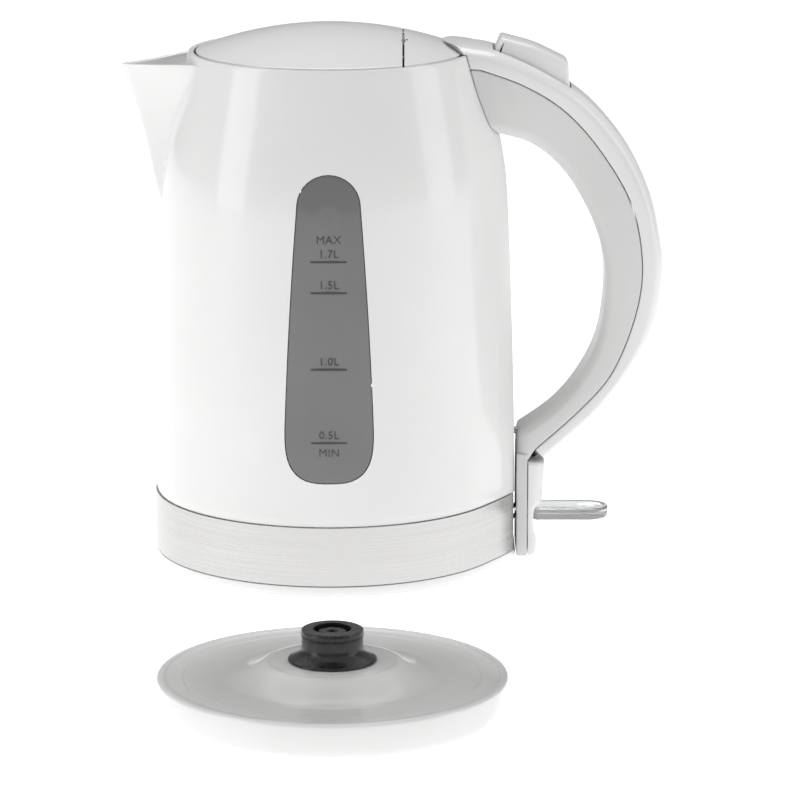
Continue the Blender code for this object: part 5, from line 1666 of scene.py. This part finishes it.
class KETTLE_OT_connector(bpy.types.Operator):
    """Black connector with its ring, cup and hub"""

    bl_idname = "kettle.connector"
    bl_label = "Connector"

    def execute(self, context):
        steps = context.scene.kettle_shape.turned_steps
        top, flange, dome = CONNECTOR_TOP, CONNECTOR_FLANGE, BASE_DOME_TOP
        ring, cup, barrel = flange - 5.6, 8.04, flange - 3.0
        cup_floor = top - 10.0
        cavity, low, snap = cup_floor - 3.0, 5.0, dome - 2.5
        neck = smooth_path(
            (
                (ring - 0.3, dome + 6.4),
                (ring + 0.3, dome + 4.6),
                (ring + 2.0, dome + 2.9),
                (flange - 1.3, dome + 1.6),
            ),
            4,
        )
        body = [
            (cup, top - 0.3),
            (cup + 0.3, top - 0.05),
            (cup + 1.1, top),
            (ring - 1.7, top),
            (ring - 0.9, top - 0.12),
            (ring - 0.3, top - 0.4),
            (ring, top - 1.0),
            (ring, top - 3.0),
            (ring - 0.12, top - 3.3),
            (ring - 0.35, top - 3.45),
            (ring - 0.35, top - 4.2),
            *neck,
            (flange - 0.5, dome + 1.25),
            (flange - 0.1, dome + 0.95),
            (flange, dome + 0.7),
            (flange, dome + 0.4),
            (barrel, dome + 0.4),
            (barrel, snap),
            (barrel + 1.4, snap - 0.2),
            (barrel, snap - 2.6),
            (barrel, low),
            (barrel - 2.0, low),
            (barrel - 2.0, cavity - 3.0),
            (barrel - 6.0, cavity),
            (2.8, cavity),
            (2.8, cup_floor),
            (cup, cup_floor),
        ]
        piece(
            "connector_shell",
            spun(body, steps),
            "black_plastic",
            "connector",
            lift=0.0,
            replaced=("connector_body",),
            sharp=36.0,
        )
        hub, hub_low = 6.03, cup_floor + GAP
        hub_section = [
            (2.1, top - 1.5),
            (2.3, top - 1.15),
            (2.8, top - 1.0),
            (hub - 0.8, top - 1.0),
            (hub - 0.25, top - 1.2),
            (hub, top - 1.7),
            (hub, hub_low + 1.4),
            (cup - GAP, hub_low + 1.4),
            (cup - GAP, hub_low),
            (2.1, hub_low),
        ]
        piece(
            "connector_hub_shell",
            spun(hub_section, steps),
            "black_plastic",
            "connector",
            lift=0.0,
            replaced=("connector_hub",),
            sharp=36.0,
        )
        return {"FINISHED"}


class KETTLE_OT_stage(bpy.types.Operator):
    """Pale floor, soft studio light and the camera"""

    bl_idname = "kettle.stage"
    bl_label = "Stage"

    def execute(self, context):
        settings = context.scene.kettle_stage
        self.make_camera(settings)
        self.make_floor()
        self.make_lights(settings.light_power)
        context.scene.view_settings.view_transform = "Standard"
        context.scene.view_settings.look = "None"
        return {"FINISHED"}

    def make_camera(self, settings):
        data = bpy.data.cameras.new("camera")
        data.lens = settings.lens
        data.sensor_width = 36.0
        data.clip_end = 30.0
        camera = bpy.data.objects.new("camera", data)
        bpy.context.scene.collection.objects.link(camera)
        camera.location = (settings.aim_side, -settings.camera_distance, settings.camera_height)
        aim = Vector((settings.aim_side, 0.0, settings.aim_height))
        camera.rotation_mode = "QUATERNION"
        camera.rotation_quaternion = (aim - camera.location).to_track_quat("-Z", "Y")
        bpy.context.scene.camera = camera

    def make_floor(self):
        bm = bmesh.new()
        bmesh.ops.create_circle(bm, cap_ends=True, radius=4.5, segments=96)
        mesh = bpy.data.meshes.new("floor")
        bm.to_mesh(mesh)
        bm.free()
        floor = bpy.data.objects.new("floor", mesh)
        bpy.context.scene.collection.objects.link(floor)
        made, tree, shader = new_finish("studio_floor")
        tree.links.new(
            tinted(tree, grain(tree, 3.0, 2.0), (0.93, 0.93, 0.93), (0.95, 0.95, 0.95)),
            shader.inputs["Base Color"],
        )
        shader.inputs["Roughness"].default_value = 0.9
        shader.inputs["Emission Color"].default_value = (1.0, 1.0, 1.0, 1.0)
        shader.inputs["Emission Strength"].default_value = 0.65
        mesh.materials.append(made)
        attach(floor, "power_base")

    def make_lights(self, power):
        world = bpy.data.worlds.new("studio")
        world.use_nodes = True
        tree = world.node_tree
        background = tree.nodes["Background"]
        background.inputs["Color"].default_value = (1.0, 1.0, 1.0, 1.0)
        background.inputs["Strength"].default_value = 0.30 * power
        bpy.context.scene.world = world
        for name, place, aim, size, watts in (
            ("left_light", (-1.9, -0.7, 0.9), (0.0, 0.0, 0.16), (0.9, 1.8), 10.5),
            ("right_light", (1.9, -0.3, 0.9), (0.0, 0.0, 0.16), (0.9, 1.8), 7.0),
            ("top_light", (0.0, 0.3, 2.2), (0.0, 0.0, 0.1), (1.8, 1.4), 26.0),
        ):
            data = bpy.data.lights.new(name, "AREA")
            data.shape = "RECTANGLE"
            data.size, data.size_y = size
            data.energy = watts * power
            light = bpy.data.objects.new(name, data)
            bpy.context.scene.collection.objects.link(light)
            light.location = place
            light.rotation_mode = "QUATERNION"
            light.rotation_quaternion = (Vector(aim) - Vector(place)).to_track_quat("-Z", "Y")


class KETTLE_PT_panel(bpy.types.Panel):
    """Lists the kettle's pieces and settings"""

    bl_idname = "KETTLE_PT_panel"
    bl_label = "Kettle"
    bl_space_type = "VIEW_3D"
    bl_region_type = "UI"
    bl_category = "Kettle"

    def draw(self, context):
        layout = self.layout
        for group in (context.scene.kettle_finish, context.scene.kettle_shape, context.scene.kettle_stage):
            column = layout.column(align=True)
            for key in group.__annotations__:
                column.prop(group, key)
        for step in STEPS:
            layout.operator(step.bl_idname)


STEPS = (
    KETTLE_OT_finishes,
    KETTLE_OT_jug,
    KETTLE_OT_windows,
    KETTLE_OT_band,
    KETTLE_OT_lid,
    KETTLE_OT_handle,
    KETTLE_OT_lid_button,
    KETTLE_OT_switch,
    KETTLE_OT_power_base,
    KETTLE_OT_connector,
    KETTLE_OT_stage,
)
GROUPS = (
    ("kettle_finish", KettleFinishSettings),
    ("kettle_shape", KettleShapeSettings),
    ("kettle_stage", KettleStageSettings),
)


def register():
    for name, group in GROUPS:
        bpy.utils.register_class(group)
        setattr(bpy.types.Scene, name, bpy.props.PointerProperty(type=group))
    for step in STEPS:
        bpy.utils.register_class(step)
    bpy.utils.register_class(KETTLE_PT_panel)


def unregister():
    bpy.utils.unregister_class(KETTLE_PT_panel)
    for step in reversed(STEPS):
        bpy.utils.unregister_class(step)
    for name, group in reversed(GROUPS):
        delattr(bpy.types.Scene, name)
        bpy.utils.unregister_class(group)


def main():
    register()
    for step in STEPS:
        group, name = step.bl_idname.split(".")
        getattr(getattr(bpy.ops, group), name)()


if __name__ == "__main__":
    main()
